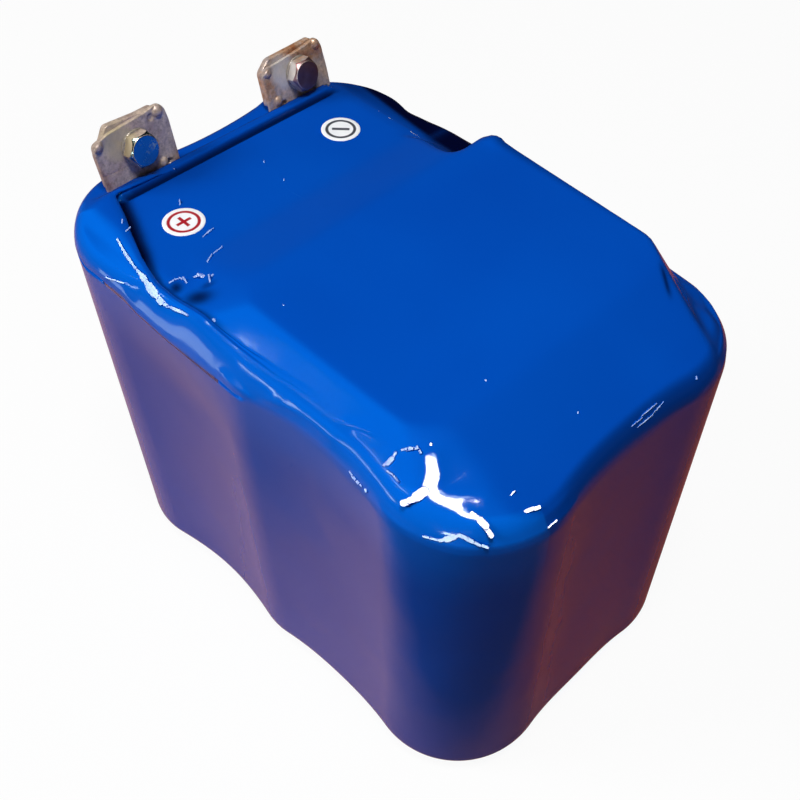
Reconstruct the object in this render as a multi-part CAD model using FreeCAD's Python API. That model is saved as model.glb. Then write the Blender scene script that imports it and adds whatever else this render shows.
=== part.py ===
import FreeCAD, Part

import math
import os

# Supercapacitor module: six round cells in a two by three block, joined in series,
# with a balance board on top, all wrapped in blue shrink film.
# Millimetres. X runs along the long side with the terminals at the -X end, +Z is up,
# and the origin is the centre of the underside.

# Cell block
cell_columns = 3
cell_rows = 2
can_radius = 30.1
can_height = 138.0
cell_gap = 3.2
cell_pitch = 2 * can_radius + cell_gap

# Can ends: a necked rim round a sunk lid, with a round post standing just over the rim
neck_step = 1.7
neck_radius = can_radius - neck_step
neck_height = 5.0
rim_round = 0.7
lid_rim_width = 1.8
lid_radius = neck_radius - lid_rim_width
lid_depth = 3.0
post_radius = 7.0
post_weld_round = 0.4
vent_from_centre = (post_radius + lid_radius) / 2
bead_radius = 1.3
bead_below_rim = 10.0
vent_radius = 3.0
vent_height = 0.8

# Conductors
bar_thickness = 3.0
bar_width = 20.0
bar_window_radius = 4.0
strip_thickness = 0.2
strip_width = 6.0
lead_radius = 0.8
lead_arc_share = 0.45
lead_from_middle = 4.0

# Insulation
board_thickness = 1.0
board_inset = 12.0
board_corner = 18.0
board_terminal_inset = 15.5
post_hole_gap = 1.5
channel_hole_radius = 10.0
cover_thickness = 0.8
cover_inset = 15.0
spacer_width = 14.0
spacer_height = 110.0

# Balance board and what is soldered or laid on it
pcb_thickness = 1.6
pcb_past_middle_post = 14.0
pcb_short_of_end_post = 3.4
pcb_past_plus_row = 14.3
pcb_past_minus_row = 22.3
pcb_corner_cut = 8.5
pad_thickness = 1.0
screw_radius = 1.5
screw_hole_gap = 0.15
screw_head_radius = 2.75
screw_head_height = 1.8
screw_slot_width = 0.8
screw_slot_depth = 0.8
screw_length = 5.0
screw_from_middle = 15.5
channel_columns = 3
channel_rows = 2
channel_from_end_edge = 13.0
channel_from_plus_edge = 31.0
channel_from_minus_edge = 38.0
transistor_size = (6.6, 6.1, 2.3)
transistor_offset = (-5.0, 4.0)
resistor_size = (6.3, 3.2, 0.6)
resistor_pitch = 4.4
resistors_per_cell = 4
resistor_offset = (5.0, -6.2)
detector_size = (2.9, 1.6, 1.1)
detector_offset = (-6.5, -4.5)
indicator_size = (2.0, 1.25, 0.8)
indicator_offset = (-2.5, -7.0)
lid_sheet_thickness = 0.8

# Terminals: an L-shaped tab on the end post of the chain, with a threaded plate behind it
tab_thickness = 1.5
tab_width = 26.5
tab_off_post = 3.5
tab_off_board = 2.9
tab_past_post = 12.0
tab_corner_cut = 4.0
tab_bend_radius = 1.2
tab_hole_gap = 0.1
plus_tab_lean = 9.0
minus_tab_lean = 12.0
plus_tab_length = 23.4
minus_tab_length = 20.3
bolt_height = 14.8
bolt_radius = 3.0
bolt_length = 8.0
bolt_hole_gap = 0.3
bolt_head_flats = 10.0
bolt_head_height = 4.0
bolt_head_face_radius = 4.75
washer_radius = 6.0
washer_thickness = 1.6
nut_plate_thickness = 2.5
nut_plate_width = 25.0
nut_plate_foot = 7.0
pip_radius = 1.8
pip_height = 1.0
pip_from_side = 3.2
pip_from_top = 2.8
pip_above_foot = 8.4
support_bar_width = 2.8
support_bar_height = 2.6
support_bar_gap = 0.2
support_bar_past_plus_post = 8.3
support_bar_past_minus_post = 14.8

# Polarity stickers
sticker_radius = 6.5
sticker_thickness = 0.15
plus_sticker_off_post = (6.4, -1.2)
minus_sticker_off_post = (3.8, 1.6)

# Film wrap
film_thickness = 0.4
film_gap = 0.1
film_dip = 3.0
film_top_round = 5.5
film_bottom_round = 4.5
film_slot_gap = 0.3
film_over_lid_sheet = 0.3
film_over_support_bar = 0.2
block_over_terminal_edge = 3.0
block_over_far_edge = 2.0
block_over_plus_edge = 2.0
block_over_minus_edge = 3.5
block_corner_cut = 10.0
block_round = 2.5
block_foot_drop = 3.8
block_slope_length = 35.8
block_foot_from_end = 6.2
block_foot_from_plus_side = 7.1
block_foot_from_minus_side = 3.8
block_foot_corner_cut = 20.0
ridge_side_gap = 0.2
ridge_round = 0.9
ridge_sink = 3.0
# The fold of film over the rims at the plus corner, as places on its outer foot and its free edge,
# measured from the plus post, with the height of that edge over the film
fold_places = (((-21.5, -12.7), (-18.0, -10.6), 3.4),
               ((-17.5, -18.5), (-11.6, -11.3), 3.2),
               ((0.9, -25.9), (4.1, -16.5), 2.8),
               ((17.9, -23.6), (19.4, -20.3), 2.2),
               ((39.4, -23.3), (39.4, -21.1), 1.4),
               ((60.4, -25.9), (60.4, -21.8), 0.6),
               ((81.4, -25.2), (81.4, -22.5), 0.1))
fold_sink = 3.8
fold_edge_slope = 1.0
fold_foot_drop = 0.6
plinth_spread = 7.0
plinth_overlap = 2.0

# Heights, stacked up from the ground
cover_z = film_thickness
bottom_bar_z = cover_z + cover_thickness
bottom_board_z = bottom_bar_z + bar_thickness
can_z = bottom_board_z + board_thickness
rim_z = can_z + can_height
lid_z = rim_z - lid_depth
top_board_z = rim_z
post_top_z = top_board_z + board_thickness
top_bar_z = post_top_z
pad_z = top_bar_z + bar_thickness
pcb_z = pad_z + pad_thickness
pcb_top_z = pcb_z + pcb_thickness
lid_sheet_z = pcb_top_z + transistor_size[2]
film_body_low_z = bottom_board_z - film_thickness
film_body_high_z = post_top_z + strip_thickness + film_thickness
film_block_high_z = lid_sheet_z + lid_sheet_thickness + film_over_lid_sheet + film_thickness
support_bar_z = rim_z
post_rise = board_thickness

# Places that follow from the cell grid
half_pitch = cell_pitch / 2
grid_half_x = (cell_columns - 1) * half_pitch
grid_half_y = (cell_rows - 1) * half_pitch
film_radius = can_radius + film_gap + film_thickness
film_half_x = grid_half_x + film_radius
film_half_y = grid_half_y + film_radius
bar_side_y = grid_half_y - bar_width / 2
board_terminal_edge = board_terminal_inset - film_half_x
tab_front_x = board_terminal_edge - tab_off_board
support_bar_low_y = -grid_half_y - support_bar_past_plus_post
support_bar_high_y = grid_half_y + support_bar_past_minus_post
pcb_low_x = -pcb_past_middle_post
pcb_high_x = grid_half_x - pcb_short_of_end_post
pcb_low_y = -grid_half_y - pcb_past_plus_row
pcb_high_y = grid_half_y + pcb_past_minus_row
channel_first_x = pcb_low_x + channel_from_end_edge
channel_first_y = pcb_low_y + channel_from_plus_edge
channel_pitch_x = (pcb_high_x - channel_from_end_edge - channel_first_x) / (channel_columns - 1)
channel_pitch_y = (pcb_high_y - channel_from_minus_edge - channel_first_y) / (channel_rows - 1)
block_low_x = pcb_low_x - block_over_terminal_edge
block_high_x = pcb_high_x + block_over_far_edge
block_low_y = pcb_low_y - block_over_plus_edge
block_high_y = pcb_high_y + block_over_minus_edge
block_foot_low_x = block_low_x - block_slope_length
block_foot_high_x = film_half_x - block_foot_from_end
block_foot_low_y = block_foot_from_plus_side - film_half_y
block_foot_high_y = film_half_y - block_foot_from_minus_side
bar_middle_z = bottom_bar_z + bar_thickness / 2
plinth_corner_cut = board_corner * (2 - math.sqrt(2))

down = FreeCAD.Vector(0, 0, -1)
up = FreeCAD.Vector(0, 0, 1)
along_x = FreeCAD.Vector(1, 0, 0)
along_y = FreeCAD.Vector(0, 1, 0)


def save(shape, node):
    """Write one piece, or one group of like pieces, as its own file."""
    shape.exportStep("parts/" + node + ".step")


def chain_places():
    """Centres of the cells in the order of the series chain, out along -Y and back along +Y."""
    xs = [column * cell_pitch - grid_half_x for column in range(cell_columns)]
    places = []
    for row in range(cell_rows):
        y = row * cell_pitch - grid_half_y
        ordered = xs if row % 2 == 0 else list(reversed(xs))
        places += [FreeCAD.Vector(x, y, 0) for x in ordered]
    return places


def cylinder(radius, height, x, y, z):
    return Part.makeCylinder(radius, height, FreeCAD.Vector(x, y, z))


def box(low_x, high_x, low_y, high_y, low_z, high_z):
    size = (high_x - low_x, high_y - low_y, high_z - low_z)
    return Part.makeBox(*size, FreeCAD.Vector(low_x, low_y, low_z))


def edges_at(shape, z):
    """Edges that lie wholly in the level plane at height z."""
    return [edge for edge in shape.Edges if all(abs(v.Z - z) < 1e-6 for v in edge.Vertexes)]


def prism(points, low_z, high_z):
    """Upright prism on a closed outline of (x, y) points."""
    corners = [FreeCAD.Vector(x, y, low_z) for x, y in points]
    return Part.Face(Part.makePolygon(corners + corners[:1])).extrude(up * (high_z - low_z))


def cut_rectangle(low_x, high_x, low_y, high_y, cut):
    """Corners of a rectangle with its four corners cut off at 45 degrees."""
    return [(low_x + cut, low_y), (high_x - cut, low_y), (high_x, low_y + cut), (high_x, high_y - cut),
            (high_x - cut, high_y), (low_x + cut, high_y), (low_x, high_y - cut), (low_x, low_y + cut)]


def frustum(low_points, low_z, high_points, high_z):
    """Flat-sided solid between two outlines with the same number of parallel sides."""
    low = [FreeCAD.Vector(x, y, low_z) for x, y in low_points]
    high = [FreeCAD.Vector(x, y, high_z) for x, y in high_points]
    return Part.makeLoft([Part.makePolygon(low + low[:1]), Part.makePolygon(high + high[:1])], True, True)


def rounded_plate(low_x, high_x, low_y, high_y, corner, low_z, thickness):
    """Flat plate with rounded upright corners."""
    plate = box(low_x, high_x, low_y, high_y, low_z, low_z + thickness)
    uprights = [edge for edge in plate.Edges if abs(edge.Vertexes[0].Z - edge.Vertexes[1].Z) > 1e-6]
    return plate.makeFillet(corner, uprights)


# Cells


def can_end():
    """The sunk lid round the post, cut out of one end of the can at height zero, facing down."""
    ring = cylinder(lid_radius, lid_depth, 0, 0, 0)
    return ring.cut(cylinder(post_radius, lid_depth, 0, 0, 0))


def cell(place, plus_up):
    """One sealed cell. The bead and the safety vent mark its plus end."""
    body = cylinder(can_radius, can_height - 2 * neck_height, 0, 0, neck_height)
    shoulder = can_radius - neck_radius
    for wide_z, direction in ((neck_height, down), (can_height - neck_height, up)):
        cone = Part.makeCone(can_radius, neck_radius, shoulder, FreeCAD.Vector(0, 0, wide_z), direction)
        body = body.fuse(cone)
    neck = cylinder(neck_radius, can_height, 0, 0, 0)
    rims = edges_at(neck, 0) + edges_at(neck, can_height)
    body = body.fuse(neck.makeFillet(rim_round, rims))
    recess = can_end()
    body = body.cut(recess).cut(recess.translated(up * (can_height - lid_depth)))
    post = cylinder(post_radius, can_height + 2 * post_rise, 0, 0, -post_rise)
    ends = edges_at(post, -post_rise) + edges_at(post, can_height + post_rise)
    body = body.fuse(post.makeChamfer(post_weld_round, ends))
    bead_z = can_height - bead_below_rim
    body = body.cut(Part.makeTorus(can_radius, bead_radius, FreeCAD.Vector(0, 0, bead_z)))
    vent = cylinder(vent_radius, vent_height, 0, -vent_from_centre, can_height - lid_depth)
    body = body.fuse(vent).removeSplitter()
    if not plus_up:
        body.rotate(FreeCAD.Vector(0, 0, can_height / 2), along_x, 180)
    body.translate(place + up * can_z)
    return body


def spacer_strips(places):
    """Foam strips between neighbouring cans, hollowed to the round of both."""
    strips = []
    low_z = can_z + (can_height - spacer_height) / 2
    for i, here in enumerate(places):
        for there in places[i + 1:]:
            if there.distanceToPoint(here) > cell_pitch * 1.01:
                continue
            middle = (here + there) * 0.5
            reach_x = abs(there.x - here.x) / 2 or spacer_width / 2
            reach_y = abs(there.y - here.y) / 2 or spacer_width / 2
            strip = box(middle.x - reach_x, middle.x + reach_x, middle.y - reach_y, middle.y + reach_y,
                        low_z, low_z + spacer_height)
            for end in (here, there):
                strip = strip.cut(cylinder(can_radius, can_height, end.x, end.y, can_z))
            strips.append(strip)
    return Part.makeCompound(strips)


# Conductors


def bus_bar(here, there, low_z):
    """Flat bar with round ends, welded to two posts through a window over each."""
    middle = (here + there) * 0.5
    reach = (there - here) * 0.5
    half = bar_width / 2
    wide_x = max(abs(reach.x), half)
    wide_y = max(abs(reach.y), half)
    bar = box(middle.x - wide_x, middle.x + wide_x, middle.y - wide_y, middle.y + wide_y,
              low_z, low_z + bar_thickness)
    for end in (here, there):
        bar = bar.fuse(cylinder(half, bar_thickness, end.x, end.y, low_z))
    bar = bar.removeSplitter()
    for end in (here, there):
        bar = bar.cut(cylinder(bar_window_radius, bar_thickness, end.x, end.y, low_z))
    return bar


def screw_places():
    """Screws that hold the balance board down, two to each top bar."""
    xs = (half_pitch - screw_from_middle, half_pitch + screw_from_middle)
    return [(x, y) for y in (-grid_half_y, grid_half_y) for x in xs]


def with_screw_holes(plate, radius, low_z, thickness):
    for x, y in screw_places():
        plate = plate.cut(cylinder(radius, thickness, x, y, low_z))
    return plate


def sense_strip(y):
    """Thin flat conductor from an end post along the insulating board and up to the balance board."""
    low_y = y - strip_width / 2
    high_y = y + strip_width / 2
    post_far_x = -grid_half_x - post_radius
    edge_x = pcb_low_x - strip_thickness
    lip_x = pcb_low_x + strip_width / 2
    level = box(post_far_x, edge_x, low_y, high_y, post_top_z, post_top_z + strip_thickness)
    rise = box(edge_x - strip_thickness, edge_x, low_y, high_y, post_top_z, pcb_top_z + strip_thickness)
    lip = box(edge_x - strip_thickness, lip_x, low_y, high_y, pcb_top_z, pcb_top_z + strip_thickness)
    return level.fuse([rise, lip]).removeSplitter()


def lead(corners):
    """Round lead along straight runs joined by arcs as large as the runs allow."""
    edges = []
    start = corners[0]
    for before, corner, after in zip(corners, corners[1:], corners[2:]):
        back = before - corner
        ahead = after - corner
        turn = math.pi - back.getAngle(ahead)
        reach = lead_arc_share * min(back.Length, ahead.Length)
        radius = reach / math.tan(turn / 2)
        first = corner + FreeCAD.Vector(back).normalize() * reach
        last = corner + FreeCAD.Vector(ahead).normalize() * reach
        bisector = FreeCAD.Vector(first + last - corner * 2).normalize()
        inner = corner + bisector * (math.hypot(radius, reach) - radius)
        edges.append(Part.LineSegment(start, first).toShape())
        edges.append(Part.Arc(first, inner, last).toShape())
        print("lead arc radius", round(radius, 1))
        start = last
    edges.append(Part.LineSegment(start, corners[-1]).toShape())
    path = Part.Wire(edges)
    section = Part.Wire(Part.Circle(corners[0], corners[1] - corners[0], lead_radius).toShape())
    tube = path.makePipeShell([section], True, False)
    plain_volume = math.pi * lead_radius ** 2 * path.Length
    print("lead volume over section times length", round(tube.Volume / plain_volume, 4))
    return tube


# Insulation


def insulating_board(low_x, low_z, leads):
    """Stiff sheet on the can rims, with a hole round each post and one for each run of leads."""
    high_x = film_half_x - board_inset
    half_y = film_half_y - board_inset
    board = rounded_plate(low_x, high_x, -half_y, half_y, board_corner, low_z, board_thickness)
    for place in chain_places():
        board = board.cut(cylinder(post_radius + post_hole_gap, board_thickness, place.x, place.y, low_z))
    for x, radius in leads:
        board = board.cut(cylinder(radius, board_thickness, x, 0, low_z))
    return board


# Balance board


def pcb_sheet(low_z, thickness, screw_hole_radius):
    """A sheet of the balance board's outline, with holes for its screws and its middle lead."""
    sheet = prism(cut_rectangle(pcb_low_x, pcb_high_x, pcb_low_y, pcb_high_y, pcb_corner_cut),
                  low_z, low_z + thickness)
    sheet = sheet.cut(cylinder(lead_radius, thickness, half_pitch, 0, low_z))
    return with_screw_holes(sheet, screw_hole_radius, low_z, thickness)


def chips(size, offset, count=1, pitch=0.0):
    """One kind of component, repeated for every cell that the balance board looks after."""
    shapes = []
    for row in range(channel_rows):
        for column in range(channel_columns):
            x = channel_first_x + column * channel_pitch_x + offset[0]
            for i in range(count):
                y = channel_first_y + row * channel_pitch_y + offset[1] + i * pitch
                chip = box(x - size[0] / 2, x + size[0] / 2, y - size[1] / 2, y + size[1] / 2,
                           pcb_top_z, pcb_top_z + size[2])
                shapes.append(chip)
    return Part.makeCompound(shapes)


def board_screws():
    screws = []
    for x, y in screw_places():
        screw = cylinder(screw_head_radius, screw_head_height, x, y, pcb_top_z)
        screw = screw.fuse(cylinder(screw_radius, screw_length, x, y, pcb_top_z - screw_length))
        half = screw_slot_width / 2
        top = pcb_top_z + screw_head_height
        slot = box(x - screw_head_radius, x + screw_head_radius, y - half, y + half,
                   top - screw_slot_depth, top)
        screws.append(screw.cut(slot))
    return Part.makeCompound(screws)


# Terminals, drawn upright with the tab's front face in the plane x = 0 and its foot at z = 0


def lean_back(shape, lean, post_y):
    """Tilt an upright terminal piece about the bend and set it on its end cell."""
    shape.rotate(FreeCAD.Vector(0, 0, 0), along_y, -lean)
    shape.translate(FreeCAD.Vector(tab_front_x, post_y + tab_off_post, lid_z))
    return shape


def facing(radius, length, x, z):
    """Cylinder along +X in the terminal's upright frame."""
    return Part.makeCylinder(radius, length, FreeCAD.Vector(x, 0, z), along_x)


def standing_leg(length, clearance):
    """The upright leg of a tab, or the space it needs in the film."""
    half = tab_width / 2 + clearance
    leg = box(-tab_thickness - clearance, clearance, -half, half, 0, length + clearance)
    corner = [FreeCAD.Vector(-tab_thickness - clearance, y, z) for y, z in
              ((-half, length + clearance), (tab_corner_cut - half, length + clearance),
               (-half, length + clearance - tab_corner_cut))]
    clipped = Part.Face(Part.makePolygon(corner + corner[:1])).extrude(along_x * (tab_thickness + 2 * clearance))
    return leg.cut(clipped)


def terminal_tab(post, length, lean):
    """L-shaped tab: a foot round the post on the lid, and a leg that carries the bolt."""
    leg = standing_leg(length, 0)
    leg = leg.cut(facing(bolt_radius + bolt_hole_gap, tab_thickness, -tab_thickness, bolt_height))
    side = tab_width / 2 - pip_from_side
    sphere_radius = (pip_radius ** 2 + pip_height ** 2) / (2 * pip_height)
    for y, z in ((-side, length - pip_from_top - tab_corner_cut / 2), (side, length - pip_from_top),
                 (-side, pip_above_foot), (side, pip_above_foot)):
        ball = Part.makeSphere(sphere_radius, FreeCAD.Vector(pip_height - sphere_radius, y, z))
        front = box(-tab_thickness / 2, pip_height, y - pip_radius, y + pip_radius,
                    z - pip_radius, z + pip_radius)
        leg = leg.fuse(ball.common(front))
    leg = lean_back(leg.removeSplitter(), lean, post.y)
    middle_y = post.y + tab_off_post
    half = tab_width / 2
    leg = leg.cut(box(tab_front_x - 2 * tab_thickness, tab_front_x, middle_y - half, middle_y + half,
                      lid_z - tab_thickness, lid_z))
    foot = box(tab_front_x - tab_thickness, post.x + tab_past_post, middle_y - half, middle_y + half,
               lid_z, lid_z + tab_thickness)
    tab = foot.fuse(leg).removeSplitter()
    tab = tab.cut(cylinder(post_radius + tab_hole_gap, tab_thickness, post.x, post.y, lid_z))
    inner_bend = [edge for edge in tab.Edges if is_inner_bend(edge)]
    return tab.makeFillet(tab_bend_radius, inner_bend)


def is_inner_bend(edge):
    """The level edge along Y where the leg's front face meets the foot's upper face."""
    low = edge.BoundBox
    level = low.ZLength < 1e-6 and abs(low.ZMin - lid_z - tab_thickness) < 1e-6
    straight = low.XLength < 1e-6 and low.YLength > tab_width / 2
    return level and straight and low.XMin < tab_front_x + tab_thickness


def nut_plate(length):
    """Threaded plate behind the tab."""
    half = nut_plate_width / 2
    back_x = -tab_thickness - nut_plate_thickness
    plate = box(back_x, -tab_thickness, -half, half, nut_plate_foot, length)
    corner = [FreeCAD.Vector(back_x, y, z) for y, z in
              ((-half, length), (tab_corner_cut - half, length), (-half, length - tab_corner_cut))]
    plate = plate.cut(Part.Face(Part.makePolygon(corner + corner[:1])).extrude(along_x * nut_plate_thickness))
    return plate.cut(facing(bolt_radius, nut_plate_thickness, back_x, bolt_height))


def washer():
    ring = facing(washer_radius, washer_thickness, 0, bolt_height)
    return ring.cut(facing(bolt_radius + bolt_hole_gap, washer_thickness, 0, bolt_height))


def bolt():
    """Hexagon bolt with a rounded-off head face and a washer's thickness of shank before the tab."""
    corner_radius = bolt_head_flats / math.sqrt(3)
    points = [FreeCAD.Vector(washer_thickness, corner_radius * math.cos(math.radians(60 * i)),
                             bolt_height + corner_radius * math.sin(math.radians(60 * i))) for i in range(6)]
    head = Part.Face(Part.makePolygon(points + points[:1])).extrude(along_x * bolt_head_height)
    cone_height = corner_radius + bolt_head_height - bolt_head_face_radius
    cone_foot = FreeCAD.Vector(washer_thickness + bolt_head_height - cone_height, 0, bolt_height)
    cone = Part.makeCone(bolt_head_face_radius + cone_height, bolt_head_face_radius, cone_height,
                         cone_foot, along_x)
    shank = facing(bolt_radius, bolt_length, washer_thickness - bolt_length, bolt_height)
    return head.common(cone).fuse(shank).removeSplitter()


def support_bar():
    """Insulating bar on the can rims, in front of both tabs."""
    low_x = board_terminal_edge - support_bar_gap - support_bar_width
    return box(low_x, low_x + support_bar_width, support_bar_low_y, support_bar_high_y,
               support_bar_z, support_bar_z + support_bar_height)


# Film wrap


def grid_outline(radius, z):
    """Outline that bulges round each outer cell and dips in between neighbours."""
    places = chain_places()
    bridge = (half_pitch ** 2 + film_dip ** 2) / (2 * film_dip)
    height = math.sqrt(bridge ** 2 - half_pitch ** 2)
    edges = []
    count = len(places)
    for i, here in enumerate(places):
        before = places[i - 1]
        after = places[(i + 1) % count]
        centres = []
        for one, other in ((before, here), (here, after)):
            along = (other - one) * (1 / cell_pitch)
            outward = FreeCAD.Vector(along.y, -along.x, 0)
            centres.append((one + other) * 0.5 + outward * height)
        touches = [here + (centre - here) * (radius / bridge) for centre in centres]
        middle = FreeCAD.Vector(touches[0] + touches[1] - here * 2).normalize()
        edges.append(Part.Arc(touches[0], here + middle * radius, touches[1]).toShape())
        dip = (here + after) * 0.5 + (centres[1] - (here + after) * 0.5) * (1 - (bridge - radius) / height)
        landing = after + (centres[1] - after) * (radius / bridge)
        edges.append(Part.Arc(touches[1], dip, landing).toShape())
    outline = Part.Wire(edges)
    outline.translate(up * z)
    return outline


def fold_form(inset):
    """Solid under the fold, from its outer foot up to its free edge, drawn in by the given thickness."""
    post = chain_places()[0]
    low_z = film_body_high_z - fold_sink
    sections = []
    for outer, edge, height in fold_places:
        foot = post + FreeCAD.Vector(*outer, 0)
        crest = post + FreeCAD.Vector(*edge, 0)
        inward = FreeCAD.Vector(crest - foot).normalize()
        foot += inward * inset
        crest -= inward * inset
        crest_z = film_body_high_z + height - inset
        lip = crest + inward * fold_edge_slope
        corners = [foot + up * low_z, lip + up * low_z, crest + up * crest_z,
                   foot + up * (film_body_high_z - fold_foot_drop - inset)]
        sections.append(Part.makePolygon(corners + corners[:1]))
    return Part.makeLoft(sections, True, True)


def film_form(inset):
    """The wrapped block, drawn in by the given thickness on every side."""
    low_z = film_body_low_z + inset
    high_z = film_body_high_z - inset
    body = Part.Face(grid_outline(film_radius - inset, low_z)).extrude(up * (high_z - low_z))
    body = body.makeFillet(film_top_round - inset, edges_at(body, high_z))
    body = body.makeFillet(film_bottom_round - inset, edges_at(body, low_z))

    block_top = cut_rectangle(block_low_x + inset, block_high_x - inset, block_low_y + inset,
                              block_high_y - inset, block_corner_cut)
    block_foot = cut_rectangle(block_foot_low_x + inset, block_foot_high_x - inset, block_foot_low_y + inset,
                               block_foot_high_y - inset, block_foot_corner_cut)
    top_z = film_block_high_z - inset
    block = frustum(block_foot, high_z - block_foot_drop, block_top, top_z)
    block = block.makeFillet(block_round - inset, edges_at(block, top_z))

    side = ridge_side_gap + film_thickness - inset
    ridge_high_x = board_terminal_edge - support_bar_gap + side
    ridge_top_z = support_bar_z + support_bar_height + film_over_support_bar + film_thickness - inset
    ridge = box(ridge_high_x - support_bar_width - 2 * side, ridge_high_x,
                support_bar_low_y - side, support_bar_high_y + side, high_z - ridge_sink, ridge_top_z)
    ridge = ridge.makeFillet(ridge_round - inset, edges_at(ridge, ridge_top_z))

    cover_half_x = film_half_x - cover_inset + film_gap + film_thickness
    cover_half_y = film_half_y - cover_inset + film_gap + film_thickness
    foot = cut_rectangle(inset - cover_half_x, cover_half_x - inset, inset - cover_half_y,
                         cover_half_y - inset, plinth_corner_cut)
    spread_x = cover_half_x + plinth_spread - inset
    spread_y = cover_half_y + plinth_spread - inset
    brow = cut_rectangle(-spread_x, spread_x, -spread_y, spread_y, plinth_corner_cut)
    plinth = frustum(foot, inset, brow, low_z + plinth_overlap)
    return body.fuse([block, ridge, plinth, fold_form(inset)]).removeSplitter()


def film_wrap(posts):
    """Thin closed wrap with a slot round each tab."""
    film = film_form(0).cut(film_form(film_thickness))
    for post, length, lean in posts:
        film = film.cut(lean_back(standing_leg(length, film_slot_gap), lean, post.y))
    return film


def sticker(post, off_post):
    return cylinder(sticker_radius, sticker_thickness, post.x + off_post[0], post.y + off_post[1],
                    film_body_high_z)


def build():
    os.makedirs("parts", exist_ok=True)
    places = chain_places()
    count = len(places)
    for i, place in enumerate(places):
        save(cell(place, i % 2 == 0), "cell_%d" % (i + 1))
    save(spacer_strips(places), "cell_spacer_strips")
    for i in range(count - 1):
        at_bottom = i % 2 == 0
        bar = bus_bar(places[i], places[i + 1], bottom_bar_z if at_bottom else top_bar_z)
        if not at_bottom:
            bar = with_screw_holes(bar, screw_radius, top_bar_z, bar_thickness)
        save(bar, "bus_bar_%d_%d" % (i + 1, i + 2))

    bottom_low_x = board_inset - film_half_x
    save(insulating_board(board_terminal_edge, top_board_z,
                          ((-half_pitch, channel_hole_radius), (half_pitch, 2 * lead_radius))),
         "top_insulating_board")
    save(insulating_board(bottom_low_x, bottom_board_z,
                          ((-half_pitch, channel_hole_radius), (half_pitch, channel_hole_radius))),
         "bottom_insulating_board")
    cover_x = film_half_x - cover_inset
    cover_y = film_half_y - cover_inset
    save(rounded_plate(-cover_x, cover_x, -cover_y, cover_y, board_corner, cover_z, cover_thickness),
         "bottom_cover_sheet")

    hole_radius = screw_radius + screw_hole_gap
    save(pcb_sheet(pad_z, pad_thickness, hole_radius), "board_pad")
    save(pcb_sheet(pcb_z, pcb_thickness, hole_radius), "balance_board")
    save(chips(transistor_size, transistor_offset), "balance_transistors")
    save(chips(resistor_size, resistor_offset, resistors_per_cell, resistor_pitch), "balance_resistors")
    save(chips(detector_size, detector_offset), "voltage_detectors")
    save(chips(indicator_size, indicator_offset), "balance_indicators")
    save(board_screws(), "board_screws")
    lid_sheet = prism(cut_rectangle(pcb_low_x, pcb_high_x, pcb_low_y, pcb_high_y, pcb_corner_cut),
                      lid_sheet_z, lid_sheet_z + lid_sheet_thickness)
    save(lid_sheet, "board_cover_sheet")

    lead_z = pcb_z + pcb_thickness / 2
    for name, side in (("balance_lead_1_2", -1), ("balance_lead_5_6", 1)):
        y = side * lead_from_middle
        save(lead([FreeCAD.Vector(pcb_low_x, y, lead_z), FreeCAD.Vector(-half_pitch, y, lead_z),
                   FreeCAD.Vector(-half_pitch, y, bar_middle_z),
                   FreeCAD.Vector(-half_pitch, side * bar_side_y, bar_middle_z)]), name)
    save(lead([FreeCAD.Vector(half_pitch, 0, pcb_top_z), FreeCAD.Vector(half_pitch, 0, bar_middle_z),
               FreeCAD.Vector(grid_half_x - bar_width / 2, 0, bar_middle_z)]), "balance_lead_3_4")

    plus_post = places[0]
    minus_post = places[-1]
    save(sense_strip(plus_post.y), "plus_sense_strip")
    save(sense_strip(minus_post.y), "minus_sense_strip")
    terminals = (("plus", plus_post, plus_tab_length, plus_tab_lean),
                 ("minus", minus_post, minus_tab_length, minus_tab_lean))
    for name, post, length, lean in terminals:
        save(terminal_tab(post, length, lean), name + "_terminal_tab")
        save(lean_back(nut_plate(length), lean, post.y), name + "_nut_plate")
        save(lean_back(washer(), lean, post.y), name + "_washer")
        save(lean_back(bolt(), lean, post.y), name + "_bolt")
    save(support_bar(), "terminal_support_bar")
    save(film_wrap([terminal[1:] for terminal in terminals]), "film_wrap")
    save(sticker(plus_post, plus_sticker_off_post), "plus_sticker")
    save(sticker(minus_post, minus_sticker_off_post), "minus_sticker")


build()
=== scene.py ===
import math

import bmesh
import bpy
import numpy as np
from mathutils import Matrix, Vector
from mathutils.bvhtree import BVHTree


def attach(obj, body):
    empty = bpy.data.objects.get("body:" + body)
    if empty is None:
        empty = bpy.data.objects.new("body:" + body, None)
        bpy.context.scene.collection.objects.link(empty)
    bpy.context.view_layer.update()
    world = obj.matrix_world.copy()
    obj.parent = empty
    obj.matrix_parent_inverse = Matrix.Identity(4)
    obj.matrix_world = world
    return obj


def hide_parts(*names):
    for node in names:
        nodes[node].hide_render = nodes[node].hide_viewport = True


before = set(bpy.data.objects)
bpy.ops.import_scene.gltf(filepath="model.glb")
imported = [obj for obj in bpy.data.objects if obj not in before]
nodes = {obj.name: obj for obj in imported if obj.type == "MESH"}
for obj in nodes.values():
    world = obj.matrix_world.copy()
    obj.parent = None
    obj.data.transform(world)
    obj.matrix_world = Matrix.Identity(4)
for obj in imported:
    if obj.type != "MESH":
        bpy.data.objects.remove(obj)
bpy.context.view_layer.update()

# Lengths in this script are millimetres in the row frame until they go into a mesh.
MM = 0.001


# ---------------------------------------------------------------- camera

CAMERA_PLACE = (175.95, -165.90, 360.65)
CAMERA_AZIMUTH = 39.433
CAMERA_ELEVATION = 52.24
CAMERA_ROLL = 4.758
# Pixels of the picture: its side, the focal length, and the point that the camera looks at
PICTURE_SIDE = 800
FOCAL_PIXELS = 1069.379
MIDDLE = (479.588, 465.398)
SENSOR = 36


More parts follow.
